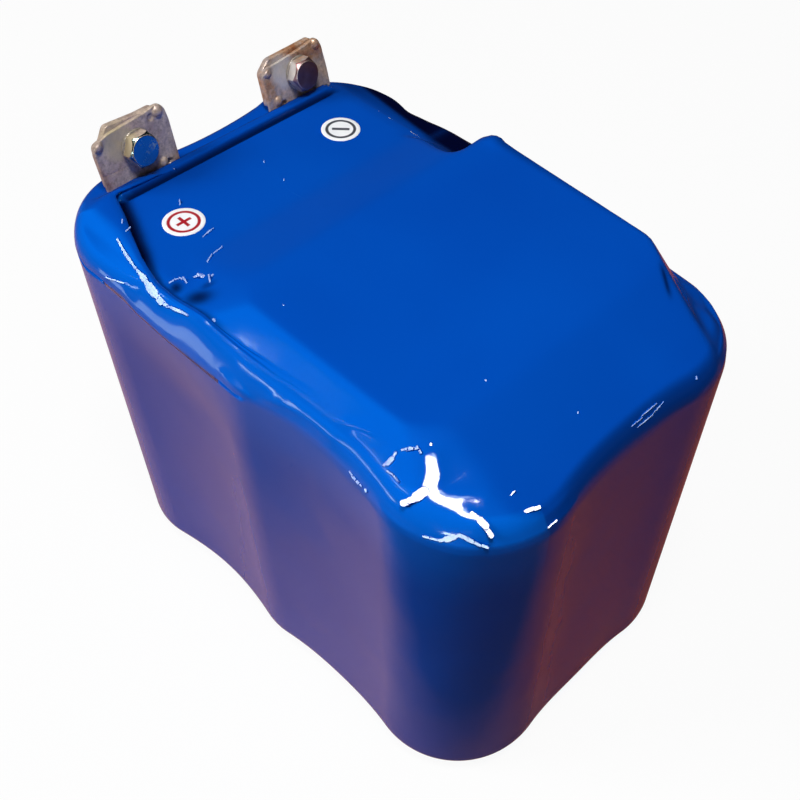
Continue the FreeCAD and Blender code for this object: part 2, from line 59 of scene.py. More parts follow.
def make_camera():
    a, e, r = (math.radians(v) for v in (CAMERA_AZIMUTH, CAMERA_ELEVATION, CAMERA_ROLL))
    back = Vector((math.sin(a) * math.cos(e), -math.cos(a) * math.cos(e), math.sin(e)))
    right = Vector((0, 0, 1)).cross(back).normalized()
    up = back.cross(right)
    turned_right = right * math.cos(r) + up * math.sin(r)
    turned_up = up * math.cos(r) - right * math.sin(r)
    data = bpy.data.cameras.new("camera")
    data.sensor_width = SENSOR
    data.lens = FOCAL_PIXELS / PICTURE_SIDE * SENSOR
    data.shift_x = 0.5 - MIDDLE[0] / PICTURE_SIDE
    data.shift_y = MIDDLE[1] / PICTURE_SIDE - 0.5
    data.clip_start = 0.01
    data.clip_end = 20
    camera = bpy.data.objects.new("camera", data)
    bpy.context.scene.collection.objects.link(camera)
    place = Matrix((turned_right, turned_up, back)).transposed().to_4x4()
    place.translation = Vector(CAMERA_PLACE) * MM
    camera.matrix_world = place
    bpy.context.scene.camera = camera


make_camera()
bpy.context.scene.view_settings.view_transform = "Standard"


# ---------------------------------------------------------------- materials


class Nodes:
    """Short way to write the node tree of a material or a world."""

    def __init__(self, name, store="materials"):
        self.material = getattr(bpy.data, store).new(name)
        self.material.use_nodes = True
        self.tree = self.material.node_tree
        self.shader = self.tree.nodes.get("Principled BSDF")

    def put(self, value, socket):
        if isinstance(value, bpy.types.NodeSocket):
            self.tree.links.new(value, socket)
        else:
            socket.default_value = value

    def add(self, kind, values=(), **settings):
        node = self.tree.nodes.new(kind)
        for key, value in settings.items():
            setattr(node, key, value)
        for key, value in dict(values).items():
            self.put(value, node.inputs[key])
        return node

    def set(self, **values):
        for key, value in values.items():
            self.put(value, self.shader.inputs[key.replace("_", " ")])

    def calc(self, operation, *values, clamp=False):
        return self.add("ShaderNodeMath", enumerate(values), operation=operation, use_clamp=clamp).outputs[0]

    def mix(self, share, first, last, blend="MIX"):
        first, last = ((*c, 1) if isinstance(c, tuple) else c for c in (first, last))
        return self.add("ShaderNodeMix", {0: share, 6: first, 7: last}, data_type="RGBA", blend_type=blend).outputs[2]

    def attribute(self, name):
        return self.add("ShaderNodeAttribute", attribute_name=name).outputs["Fac"]

    def finish(self, surface):
        """Makes a shader the surface of the material or the world."""
        end = [node for node in self.tree.nodes if node.type.startswith("OUTPUT")][0]
        self.tree.links.new(surface.outputs[0], end.inputs["Surface"])

    def place(self):
        return self.add("ShaderNodeTexCoord").outputs["Object"]

    def noise(self, scale, detail=2.0, rough=0.5, stretch=None):
        where = self.place()
        if stretch:
            where = self.add("ShaderNodeMapping", {"Vector": where, "Scale": stretch}).outputs["Vector"]
        return self.add("ShaderNodeTexNoise", {"Vector": where, "Scale": scale, "Detail": detail,
                                               "Roughness": rough}).outputs["Fac"]

    def ramp(self, value, *stops):
        node = self.add("ShaderNodeValToRGB", {"Fac": value})
        ramp = node.color_ramp
        while len(ramp.elements) < len(stops):
            ramp.elements.new(0.5)
        for element, (place, colour) in zip(ramp.elements, stops):
            element.position = place
            if isinstance(colour, (int, float)):
                colour = (colour,) * 3
            element.color = (*colour, 1)
        return node.outputs["Color"]

    def bump(self, height, distance, strength=1.0, normal=None):
        values = {"Height": height, "Distance": distance, "Strength": strength}
        if normal:
            values["Normal"] = normal
        return self.add("ShaderNodeBump", values).outputs["Normal"]


def film_material():
    n = Nodes("film")
    blue = n.ramp(n.noise(14, 2), (0.3, (0.0, 0.060, 0.415)), (0.7, (0.0, 0.073, 0.465)))
    # painted light: a lighter blue on the rim and upper wall that face the window
    blue = n.mix(n.attribute("painted_light"), blue, (0.0, 0.125, 0.66))
    # painted shade: near-black navy where the film lies in shadow
    n.set(Base_Color=n.mix(n.attribute("shade"), blue, (0.0, 0.001, 0.018)),
          Roughness=n.ramp(n.noise(60, 4), (0.35, 0.06), (0.7, 0.13)), IOR=1.5,
          Normal=n.bump(n.noise(700, 2), 0.00001, normal=n.bump(n.noise(45, 1), 0.00035)))
    return n.material


def plain(name, low, high, rough=(0.4, 0.6), metal=0.0, scale=60, grain=0.0001, stretch=None):
    """Two close shades mixed by noise, with uneven gloss and a fine grain."""
    n = Nodes(name)
    n.set(Base_Color=n.ramp(n.noise(scale, 4, stretch=stretch), (0.3, low), (0.7, high)),
          Roughness=n.ramp(n.noise(scale * 2.3, 4), (0.3, rough[0]), (0.7, rough[1])), Metallic=metal,
          Normal=n.bump(n.noise(scale * 8, 3, stretch=stretch), grain))
    return n.material


def metal_material(name, low, high, rough, scale=160):
    """Nickelled steel: blotched tarnish, scratches and a slightly uneven face."""
    n = Nodes(name)
    scratches = n.noise(900, 3, stretch=(1, 1, 0.15))
    n.set(Base_Color=n.ramp(n.noise(scale, 5, 0.65), (0.32, low), (0.62, high)), Metallic=1.0,
          Roughness=n.ramp(n.noise(scale * 1.7, 5), (0.3, rough[0]), (0.7, rough[1])),
          Normal=n.bump(scratches, 0.00003, normal=n.bump(n.noise(260, 2), 0.00025)))
    return n.material


FILM = film_material()
BY_SLOT = {
    "cell_can": plain("can", (0.72, 0.72, 0.74), (0.82, 0.82, 0.84), (0.25, 0.4), 1.0, stretch=(1, 1, 0.1)),
    "spacer_foam": plain("foam", (0.03, 0.03, 0.03), (0.07, 0.07, 0.07), (0.8, 0.95), scale=300, grain=0.0006),
    "bus_bar": plain("bar", (0.72, 0.72, 0.74), (0.84, 0.84, 0.86), (0.25, 0.4), 1.0, stretch=(0.1, 1, 1)),
    "insulating_sheet": plain("board", (0.66, 0.70, 0.55), (0.76, 0.80, 0.66), scale=200),
    "cover_sheet": plain("sheet", (0.10, 0.10, 0.10), (0.14, 0.14, 0.14), scale=120),
    "circuit_board": plain("pcb", (0.01, 0.16, 0.05), (0.02, 0.22, 0.08), (0.3, 0.45), scale=150),
    "component": plain("component", (0.02, 0.02, 0.02), (0.04, 0.04, 0.04), scale=400),
    "resistor": plain("resistor", (0.03, 0.03, 0.035), (0.06, 0.06, 0.065), scale=400),
    "indicator": plain("indicator", (0.70, 0.06, 0.03), (0.85, 0.10, 0.05), (0.2, 0.3), scale=400),
    "board_screw": plain("screw", (0.60, 0.60, 0.62), (0.75, 0.75, 0.77), (0.25, 0.4), 1.0, scale=300),
    "lead": plain("lead", (0.60, 0.02, 0.02), (0.72, 0.04, 0.03), (0.35, 0.5), scale=200),
    "sense_strip": plain("strip", (0.70, 0.68, 0.64), (0.80, 0.78, 0.74), (0.25, 0.4), 1.0, scale=200),
    "support_bar": plain("support", (0.08, 0.08, 0.08), (0.12, 0.12, 0.12), scale=150),
    "terminal": metal_material("tab_metal", (0.30, 0.25, 0.24), (0.62, 0.55, 0.52), (0.22, 0.4)),
    "nut_plate": metal_material("plate_metal", (0.34, 0.29, 0.27), (0.60, 0.54, 0.50), (0.25, 0.42)),
    "bolt": metal_material("bolt_metal", (0.34, 0.33, 0.35), (0.62, 0.60, 0.62), (0.12, 0.25), 220),
    "film": FILM,
}

# The first of these that a node's name holds gives its slot
NAME_SLOT = (
    ("cell_spacer_strips", "spacer_foam"), ("insulating_board", "insulating_sheet"), ("cover_sheet", "cover_sheet"),
    ("board_pad", "spacer_foam"), ("balance_board", "circuit_board"), ("balance_transistors", "component"),
    ("voltage_detectors", "component"), ("balance_resistors", "resistor"), ("balance_indicators", "indicator"),
    ("board_screws", "board_screw"), ("support_bar", "support_bar"), ("film_wrap", "film"), ("cell_", "cell_can"),
    ("bus_bar", "bus_bar"), ("balance_lead", "lead"), ("sense_strip", "sense_strip"), ("terminal_tab", "terminal"),
    ("nut_plate", "nut_plate"), ("washer", "bolt"), ("bolt", "bolt"), ("sticker", "film"),
)


def slot_of(name):
    return next(slot for part, slot in NAME_SLOT if part in name)


for name, node in nodes.items():
    node.data.materials.clear()
    node.data.materials.append(BY_SLOT[slot_of(name)])


def strips(rows, count):
    """Faces between closed rings of points, each ring of the same count."""
    return [(r * count + c, r * count + d, (r + 1) * count + d, (r + 1) * count + c)
            for r in range(rows - 1) for c, d in zip(range(count), [*range(1, count), 0])]


def face_outward(piece, merge=0):
    """Turns all faces outward, after merging points that are closer than a distance in metres."""
    b = bmesh.new()
    b.from_mesh(piece.data)
    if merge:
        bmesh.ops.remove_doubles(b, verts=b.verts, dist=merge)
    bmesh.ops.recalc_face_normals(b, faces=b.faces)
    b.to_mesh(piece.data)
    b.free()


def add_mesh(name, points, faces, material, smooth=True):
    """A piece from points in millimetres, on the body "root"."""
    mesh = bpy.data.meshes.new(name)
    mesh.from_pydata([tuple(p) for p in np.asarray(points, float) * MM], [], faces)
    mesh.validate()
    mesh.polygons.foreach_set("use_smooth", [smooth] * len(mesh.polygons))
    mesh.materials.append(material)
    piece = bpy.data.objects.new(name, mesh)
    bpy.context.scene.collection.objects.link(piece)
    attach(piece, "root")
    return piece


def direction(azimuth, elevation):
    """Unit vector at an azimuth and an elevation in degrees."""
    a, e = math.radians(azimuth), math.radians(elevation)
    return Vector((math.cos(a) * math.cos(e), math.sin(a) * math.cos(e), math.sin(e)))


# ---------------------------------------------------------------- film

CAN_X = 63.4
CAN_Y = 31.7
CANS = [(x, y) for x in (-CAN_X, 0.0, CAN_X) for y in (-CAN_Y, CAN_Y)]
HALF_PITCH = CAN_Y
# Radii of the film round a cell, of the rounded foot of its wall, and of what no crease may enter
FILM_R = 30.6
FOOT_R = 4.5
CAN_CLEAR = 30.2
# Depth of the dips between the cells, and heights of the wall's foot, the deck and the raised block
DIP = 3.0
BODY_LOW = 3.8
DECK = 144.8
BLOCK_TOP = 153.6
# Columns of points round the film, and the length of the straight start of each one's way in over the top
COLUMNS = 560
STRAIGHT = 8


def smooth(x, low, high):
    """From none at low to one at high, level at both."""
    t = np.clip((x - low) / (high - low), 0, 1)
    return t * t * (3 - 2 * t)


def run_length(points):
    """Length along a polyline at each of its points."""
    return np.concatenate([[0], np.cumsum(np.linalg.norm(np.diff(points, axis=0), axis=1))])


def outline(count):
    """Points and outward normals of the wrapped block, anticlockwise from the +X end's middle, and their lengths
    along it."""
    centres = np.array(((-CAN_X, -CAN_Y), (0, -CAN_Y), (CAN_X, -CAN_Y), (CAN_X, CAN_Y), (0, CAN_Y), (-CAN_X, CAN_Y)))
    # between two cells the film follows a circle round a hub outside the block
    bridge = (HALF_PITCH ** 2 + DIP ** 2) / (2 * DIP)
    rise = np.sqrt(bridge ** 2 - HALF_PITCH ** 2)
    after = np.roll(centres, -1, 0)
    along = (after - centres) / np.linalg.norm(after - centres, axis=1, keepdims=True)
    hubs = (centres + after) / 2 + np.stack([along[:, 1], -along[:, 0]], -1) * rise
    pts, nrm = [], []

    def arc(middle, first, last, radius, sign):
        """Part of a circle from one direction to another, with the outward side at the sign."""
        a0, a1 = (np.arctan2(*(end - middle)[::-1]) for end in (first, last))
        while (a1 - a0) * sign < 0:
            a1 += 2 * np.pi * sign
        a = np.linspace(a0, a1, 200, endpoint=False)
        ray = np.stack([np.cos(a), np.sin(a)], -1)
        pts.append(middle + radius * ray)
        nrm.append(sign * ray)

    for i, centre in enumerate(centres):
        arc(centre, hubs[i - 1], hubs[i], FILM_R, 1)
        arc(hubs[i], centre, after[i], bridge - FILM_R, -1)
    pts, nrm = np.concatenate(pts), np.concatenate(nrm)
    start = np.argmin(np.abs(np.arctan2(pts[:, 1], pts[:, 0])))
    pts, nrm = np.roll(pts, -start, 0), np.roll(nrm, -start, 0)
    closed, nrm = np.concatenate([pts, pts[:1]]), np.concatenate([nrm, nrm[:1]])
    s = run_length(closed)
    # closer together round the -Y side and its two corners
    ahead = (closed @ np.array([0.25, -1.0])) / 100
    weight = 1 + 1.9 * smooth(ahead, -0.25, 0.35)
    run = np.concatenate([[0], np.cumsum(np.diff(s) * (weight[1:] + weight[:-1]) / 2)])
    t = np.interp(np.arange(count) / count * run[-1], run, s)
    p, m = (np.stack([np.interp(t, s, values[:, k]) for k in (0, 1)], -1) for values in (closed, nrm))
    return p, m / np.linalg.norm(m, axis=1, keepdims=True), t, s[-1]


P, N, ARC, AROUND = outline(COLUMNS)


def arc_near(x, y):
    """Length along the outline at its point nearest to (x, y)."""
    return ARC[np.argmin((P[:, 0] - x) ** 2 + (P[:, 1] - y) ** 2)]


def away(place):
    """Signed length along the outline from a place to each column, the short way round."""
    return (ARC - place + AROUND / 2) % AROUND - AROUND / 2


def soft_max(a, b, k):
    """The larger of two values, rounded over about k where they meet."""
    return (a + b + np.sqrt((a - b) ** 2 + k * k)) / 2


def soft_min(a, b, k):
    return (a + b - np.sqrt((a - b) ** 2 + k * k)) / 2


def around(places):
    """A value for each column, smooth between ((x, y), value) places on the outline."""
    s = np.array([arc_near(*p) for p, _ in places])
    v = np.array([value for _, value in places], float)
    order = np.argsort(s)
    s, v = s[order], v[order]
    s = np.concatenate([s[-1:] - AROUND, s, s[:1] + AROUND])
    v = np.concatenate([v[-1:], v, v[:1]])
    k = np.clip(np.searchsorted(s, ARC, side="right") - 1, 0, len(s) - 2)
    t = smooth(ARC, s[k], np.maximum(s[k + 1], s[k] + 1e-9))
    return v[k] * (1 - t) + v[k + 1] * t


# The raised block's top, as sides with an outward direction, a place on the side and the slope's length
BLOCK_SIDES = (
    ((-1.0, 0.0), (-16.5, 0.0), 26.0),
    ((0.0, -1.0), (0.0, -46.8), 14.0),
    ((1.0, 0.0), (61.2, 0.0), 28.0),
    ((0.7071, -0.7071), (56.4, -42.4), 24.0),
    ((-0.7071, -0.7071), (-11.5, -43.5), 20.0),
    ((0.55, 0.835), (57.0, 53.0), 6.0),
    ((0.035, 0.9994), (0.0, 58.6), 1.3),
    ((-0.60, 0.80), (-16.5, 58.8), 5.0),
)

# The loop on which the film has its sharpest line: block's back edge, ridge's front, free edge of the fold
CREST = ((82, 0), (80, 22), (72, 41), (62.5, 49.5), (56, 53.6), (45, 56.6), (20, 57.9), (-10, 58.9), (-16.8, 58.7),
         (-20, 57.6), (-27, 56.8), (-36, 56.6), (-46, 56.4), (-56, 55.6), (-66, 53.6), (-73, 50.2), (-76.5, 47),
         (-78.3, 44.5), (-78.3, 20), (-78.3, 0), (-78.3, -20), (-78.4, -36), (-78.9, -40.2), (-77.6, -42.2),
         (-75, -43), (-67.5, -45.7), (-59.3, -49.2), (-52, -51.9), (-46, -53.6), (-40, -55.0), (-34, -55.1),
         (-26, -54.9), (-19, -55.1), (-11, -55.5), (-2, -55.5), (10, -55.2), (22, -54.6), (40, -51), (58, -46),
         (72, -37), (80, -20))

# Values at places on the outline. How high the fold stands over the deck
FOLD_HEIGHT = (((-94, 5), 0), ((-94, -19), 0), ((-94, -31), 1.3), ((-92.5, -41), 2.6), ((-86, -52), 3.3),
               ((-74, -60), 3.3), ((-60, -62.3), 3.1), ((-44, -61), 2.5), ((-24, -59.6), 1.6), ((-3, -62), 0.8),
               ((18, -60.5), 0.25), ((34, -60), 0), ((94, 0), 0))
# How far in the shoulder reaches
SHOULDER = (((94, 0), 5.5), ((90, 47), 6.5), ((80, 57), 7.0), ((66, 62.3), 4.5), ((50, 61.3), 2.2), ((20, 60.7), 1.8),
            ((-10, 61), 1.8), ((-22, 60), 2.2), ((-34, 59.3), 2.6), ((-46, 60), 3.6), ((-56, 61.5), 5.4),
            ((-72, 61), 6.4), ((-86, 52), 5.8), ((-94, 0), 5.5), ((-86, -52), 5.0), ((-72, -61), 4.0),
            ((-60, -62.3), 3.2), ((-50, -61.5), 3.4), ((-42, -60.5), 4.6), ((-31.7, -59), 5.2), ((-14, -60.5), 5.2),
            ((0, -62), 5.0), ((12, -61.5), 5.0), ((31.7, -59), 5.0), ((48, -61), 6.0), ((62, -62), 6.0),
            ((86, -52), 6.0))
# How far down the wall the shoulder reaches, as a share of how far in it reaches
LONG_SHOULDER = (((94, 0), 1.6), ((90, 47), 1.2), ((66, 62.3), 1.0), ((-60, 62.3), 1.0), ((-94, 10), 1.0),
                 ((-92, -40), 1.2), ((-60, -62), 1.9), ((-48, -61), 1.9), ((-31, -59), 1.8), ((0, -62), 1.5),
                 ((31, -59), 1.6), ((60, -62), 1.3), ((90, -45), 1.3))
# How flat the shoulder is between its two ends: two for round, towards one for a chamfer
ROUND = (((94, 0), 2.0), ((-94, 0), 2.0), ((-56, -62), 2.0), ((-40, -60), 1.45), ((-14, -60.5), 1.35),
         ((2, -62), 1.45), ((16, -61), 1.9), ((30, -59), 2.0))


def ridge(x, y):
    """Rise over the bar in front of the tabs."""
    return 1.6 * (smooth(x, -83.2, -81.9) * (1 - smooth(x, -78.6, -77.7)) * smooth(y, -41.3, -40.0)
                  * (1 - smooth(y, 45.8, 48)))


def height(x, y):
    """Height of the film's top over the ground, without its shoulder and its fold."""
    past_board = np.maximum(np.maximum(np.abs(y) - 49.0, -77.5 - x), x - 81.0)
    z = DECK - 0.9 * smooth(past_board, 0, 7) - 0.4 * smooth(y, 50, 54)
    block = None
    for (dx, dy), (px, py), reach in BLOCK_SIDES:
        out = (x - px) * dx + (y - py) * dy
        side = BLOCK_TOP - 8.8 * out / reach
        block = side if block is None else soft_min(block, side, 1.0)
    block = soft_min(block, np.full_like(x, BLOCK_TOP + 0.2), 0.8)
    z = soft_max(z, block, 1.2 + 2.4 * smooth(x, 55, 75) * smooth(y, 5, 30))
    # pocket behind the block's back corner, where the film drops to the cell rims
    pocket = smooth(-x, 16.6, 20.5) * smooth(y, 42 + 4 * smooth(-x, 22, 40), 54)
    z = z - pocket * np.maximum(z - 143.7, 0)
    z = z + ridge(x, y)
    groove = np.exp(-((x + 77.2) / 0.8) ** 2) * smooth(y, -42, -38) * (1 - smooth(y, 42, 48))
    return z - 0.42 * groove


def shade(x, y):
    """Painted shade on the film's top, none to one, where its folds, pocket, ridge and edges lie in shadow."""
    # painted shade: the pocket behind the block's back corner, a band along the back rim, the ridge's cast shadow in
    # front of it and the trench behind it
    dark = smooth(-x, 16.9, 18.5) * smooth(y, 47 + 2 * smooth(-x, 20, 34), 54) * (1 - 0.5 * smooth(-x, 34, 44))
    band = smooth(-x, 26, 40) * smooth(y + 0.10 * (x + 60), 52.5, 56.5) * (1 - smooth(-x, 84, 90))
    line = 0.9 * np.exp(-((x + 77.3) / 0.95) ** 4) * smooth(y, -41, -38) * (1 - smooth(y, 44, 50))
    behind = 0.8 * np.exp(-((x + 83.4) / 0.9) ** 4) * smooth(y, -43, -38) * (1 - smooth(y, -14, 0))
    # painted shade along a fold by the block's far corner, and along the block's back edge
    along = (x - 60.9) * 0.794 - (y - 49.0) * 0.608
    across = (x - 60.9) * 0.608 + (y - 49.0) * 0.794
    fold = 0.8 * np.exp(-((across - 0.2) / 0.8) ** 2 - ((along - 5) / 5.5) ** 4)
    edge = 0.5 * smooth(y, 54.5, 58.5) * smooth(x, -18, -10) * (1 - smooth(x, 50, 62))
    return np.max([dark, band, line, behind, fold, edge], axis=0)


def can_distance(x, y):
    """Distance from the nearest cell's axis."""
    return np.min([np.hypot(x - cx, y - cy) for cx, cy in CANS], axis=0)


def inner_limit(x, y):
    """Lowest height at which the film clears the bars, the cell rims and the board."""
    bars = np.where((np.abs(y) < 50.6) & (x > -79) & (x < 82.3), 144.3, 0.0)
    r = can_distance(x, y)
    rims = np.where(r < 30.3, 143.4 - 1.6 * np.maximum(r - 28.1, 0), 0.0)
    # how far outside the board's cover sheet, which has cut corners
    off = np.maximum(np.maximum(-14.2 - x, x - 60.2), np.maximum(-46.2 - y, y - 54.2))
    for dx in (1, -1):
        for dy in (1, -1):
            out = (x - 23 - 32.75 * dx) * dx + (y - 4 - 45.75 * dy) * dy
            off = np.maximum(off, out * 0.7071 - 0.2)
    return np.max([bars, rims, np.where(off < 0, 153.1, 0.0)], axis=0)


def crest_reach(origin, inner, core):
    """Distance along each column's inward path at which it meets the crest loop."""
    loop = np.array(CREST, float)
    a, b = loop, np.roll(loop, -1, 0)
    steps = np.arange(0.2, 40, 0.1)
    first = []
    for start in zip(origin, inner, core):
        q = path(*start, steps)
        x, y = q[:, :1], q[:, 1:]
        over = (a[:, 1] > y) != (b[:, 1] > y)
        cross = a[:, 0] + (y - a[:, 1]) / (b[:, 1] - a[:, 1] + 1e-12) * (b[:, 0] - a[:, 0])
        first.append(steps[np.argmax(np.sum(over & (x < cross), axis=1) % 2)])
    for _ in range(2):
        first = (np.roll(first, 1) + 2 * np.array(first) + np.roll(first, -1)) / 4
    return first


def path(origin, inner, core, distance):
    """Points at distances inward: straight in at first, then towards the core."""
    total = np.linalg.norm(core - inner, axis=-1, keepdims=True)
    d = distance[:, None]
    return (origin + (inner - origin) * np.minimum(d, STRAIGHT) / STRAIGHT
            + (core - inner) * np.clip(d - STRAIGHT, 0, total) / total)


# How much the film runs straight over the dips between the cells
BRIDGED = (((50, 61), 1), ((-38, 60), 1), ((-56, 62), 0), ((-94, 0), 0), ((94, 0), 0), ((66, 62), 0), ((-70, -62), 0),
           ((-60, -62.3), 0.9), ((-10, -61.6), 0.9), ((4, -62.2), 0), ((70, -62), 0))
# Where the wall stands a little further out or in than the cells' outline: place, reach along and up it, amount
WALL_PLACES = (
    ((-93, -38), 22, 150, 90, 1.3),
    ((-31.7, -59), 22, 15, 45, -0.7),
    ((31.7, -59), 20, 20, 45, 0.7),
    ((91, 0), 20, 15, 55, 1.9),
    ((91, 0), 14, 110, 40, 0.5),
)


def wall_offset(z):
    """How far the wall stands out of the cells' outline at a height, for each column."""
    total = np.zeros(COLUMNS)
    for place, along, middle, up, amount in WALL_PLACES:
        total = total + amount * np.exp(-(away(arc_near(*place)) / along) ** 2 - ((z - middle) / up) ** 2)
    return total


def film_surface():
    """Rings of points from the middle of the underside, up the wall and over the top to its middle."""
    core = np.stack([np.clip(P[:, 0] * 0.72, -60, 60), np.zeros(COLUMNS)], -1)
    rings = []

    def ring(q, z):
        rings.append(np.column_stack([q, np.broadcast_to(z, (COLUMNS,))]))

    # underside and the step up to the wall's foot
    for t in np.linspace(0, 1, 6):
        ring(core + (P - 15.2 * N - core) * t, 0.0)
    for d, z in ((14.6, 0.12), (14.0, 0.5), (13.2, 1.15), (12.2, 2.0), (11.2, 2.85), (10.3, 3.45), (9.2, 3.75),
                 (7.5, BODY_LOW), (5.5, BODY_LOW)):
        ring(P - d * N, z)
    low_wall = BODY_LOW + FOOT_R
    for turn in np.linspace(0, math.pi / 2, 7):
        out = wall_offset(low_wall) * math.sin(turn) - FOOT_R * (1 - math.sin(turn))
        ring(P + N * out[:, None], low_wall - FOOT_R * math.cos(turn))
    # wall; near the block's back edge and at the fold it runs straight over the dips between the cells
    shoulder = around(SHOULDER)
    deep = shoulder * around(LONG_SHOULDER)
    power = around(ROUND)
    rim = DECK - deep
    dip = np.maximum(CAN_Y + FILM_R - np.abs(P[:, 1]), 0) * around(BRIDGED)
    for t in np.linspace(0, 1, 64)[1:]:
        z = low_wall + (rim - low_wall) * t
        ring(P + N * (dip * smooth(z, 105, 143) + wall_offset(z))[:, None], z)
    # top, as distances inward and the share of the fold's height there: None where the fold still rises
    origin = P + N * (dip + wall_offset(rim))[:, None]
    inner = origin - STRAIGHT * N
    reach = np.maximum(crest_reach(origin, inner, core), shoulder + 0.5)
    fold = around(FOLD_HEIGHT)
    edge = fold - 0.5 * np.minimum(fold, 1)
    under = smooth(fold, 0.3, 2.2)
    levels = [(shoulder * (1 - math.cos(turn)), None) for turn in np.linspace(0, math.pi / 2, 17)[1:]]
    levels += [(shoulder + (reach - shoulder) * t, None) for t in np.linspace(0, 1, 15)[1:]]
    # back under the free edge of the fold and out again over the deck
    levels += [(reach + flat * (1 - under) + folded * under, share) for flat, folded, share in (
        (0.25, 0, 0.93), (0.5, -0.1, 0.80), (0.75, -1.6, 0.62), (1.0, -2.8, 0.30), (1.3, -2.9, 0.05),
        (1.6, -1.6, 0.0))]
    start = reach + 1.9 * (1 - under) - 0.5 * under
    span = STRAIGHT + np.linalg.norm(core - inner, axis=1) - start
    levels += [(start + span * (0.55 * t + 0.45 * t * t), 0.0) for t in np.linspace(0, 1, 44)]
    for d, share in levels:
        q = path(origin, inner, core, d)
        drop = deep * (1 - np.maximum(1 - np.clip(1 - d / shoulder, 0, 1) ** power, 0) ** (1 / power))
        if share is None:
            t = np.clip(d / reach, 0, 1)
            lift = fold * (np.sin(t * math.pi / 2) ** 1.3) - 0.5 * np.minimum(fold, 1) * smooth(t, 0.86, 1.0)
        else:
            lift = edge * share
        z = np.maximum(height(*q.T) - drop, inner_limit(*q.T)) + lift
        ring(q, z - np.minimum(ridge(*q.T), lift))
    return np.array(rings)


# Creases: line, height, widths to its left and right, sharpness
CREASES = (
    # block's back corner
    (((-15.0, 56.5, 153.5), (-9.0, 57.6, 153.6)), 0.9, 3.0, 3.0, 2),
    # ridge along the rim after the fold
    (((11.3, -59.8, 141.4), (19.3, -58.0, 143.7), (27.2, -57.1, 144.7), (34.3, -57.2, 144.4), (40.3, -57.5, 144.6)),
     0.55, 1.3, 0.7, 1.3),
    (((36.0, -54.5, 148.0), (43.7, -52.4, 150.0), (48.5, -51.4, 150.5)), 0.35, 1.6, 0.8, 1.6),
)
# Bright folded place: arms as line, half width at its start and at its end; slope of the flanks and their reach
STAR = (
    (((62.9, -47.6, 151.4), (66.0, -50.0, 149.6), (67.6, -53.5, 148.4)), 2.0, 2.2),
    (((68.5, -53.5, 148.0), (72.1, -51.9, 148.0), (79.1, -45.4, 147.8)), 1.5, 0.5),
    (((69.5, -54.0, 147.8), (75.0, -51.6, 147.4), (81.5, -51.0, 146.0)), 1.3, 1.5),
)
STAR_SLOPE = 0.24
STAR_REACH = 3.5


def along_line(points, line):
    """Distance to a polyline, the signed distance to its left seen from above, and the share of its length."""
    line = np.array(line, float)
    best = np.full(len(points), 1e9)
    side = np.zeros(len(points))
    share = np.zeros(len(points))
    lengths = np.linalg.norm(np.diff(line, axis=0), axis=1)
    total, run = lengths.sum(), 0.0
    for a, b, length in zip(line[:-1], line[1:], lengths):
        ray = (b - a) / length
        t = np.clip((points - a) @ ray, 0, length)
        off = points - a - t[:, None] * ray
        far = np.linalg.norm(off, axis=1)
        near = far < best
        left = np.cross(ray, off)[:, 2]
        best = np.where(near, far, best)
        side = np.where(near, left, side)
        share = np.where(near, (run + t) / total, share)
        run += length
    return best, side, share


def crease_lift(points):
    """Displacement along the surface from all creases."""
    total = np.zeros(len(points))

    def around_lines(lines, margin):
        """The points near some lines."""
        corners = np.concatenate([np.array(line) for line in lines])
        return np.all((points > corners.min(0) - margin) & (points < corners.max(0) + margin), axis=1)

    for line, rise, left, right, sharp in CREASES:
        near = around_lines([line], 9)
        far, side, share = along_line(points[near], line)
        width = np.where(side > 0, left, right)
        taper = smooth(share, -0.02, 0.18) * (1 - smooth(share, 0.82, 1.02))
        total[near] += rise * (0.15 + 0.85 * taper) * np.exp(-(far / width) ** sharp)
    near = around_lines([line for line, _, _ in STAR], STAR_REACH * 6)
    least = np.full(near.sum(), 1e9)
    for line, first, last in STAR:
        far, _, share = along_line(points[near], line)
        least = soft_min(least, far - (first + (last - first) * share), 0.35)
    total[near] += STAR_SLOPE * STAR_REACH * np.exp(-np.maximum(least, 0) / STAR_REACH)
    return total


# The fold's free edge on the deck
FOLD_LINE = ((-80.0, -40.8, 0), (-75, -42.8, 0), (-67.5, -45.7, 0), (-59.3, -49.2, 0), (-52, -51.9, 0),
             (-46, -53.6, 0), (-40, -55.0, 0), (-34, -55.1, 0), (-26, -54.9, 0), (-19, -55.1, 0), (-3, -55.5, 0))
# Painted shade in pits beyond the free edge: middle, half sizes, turn in degrees, darkness
PITS = (
    ((-35.5, -52.0), (2.4, 1.8), -20, 0.85),
    ((-26.0, -51.0), (4.6, 2.9), 25, 0.85),
    ((-27.5, -46.6), (2.2, 1.6), 60, 0.5),
)


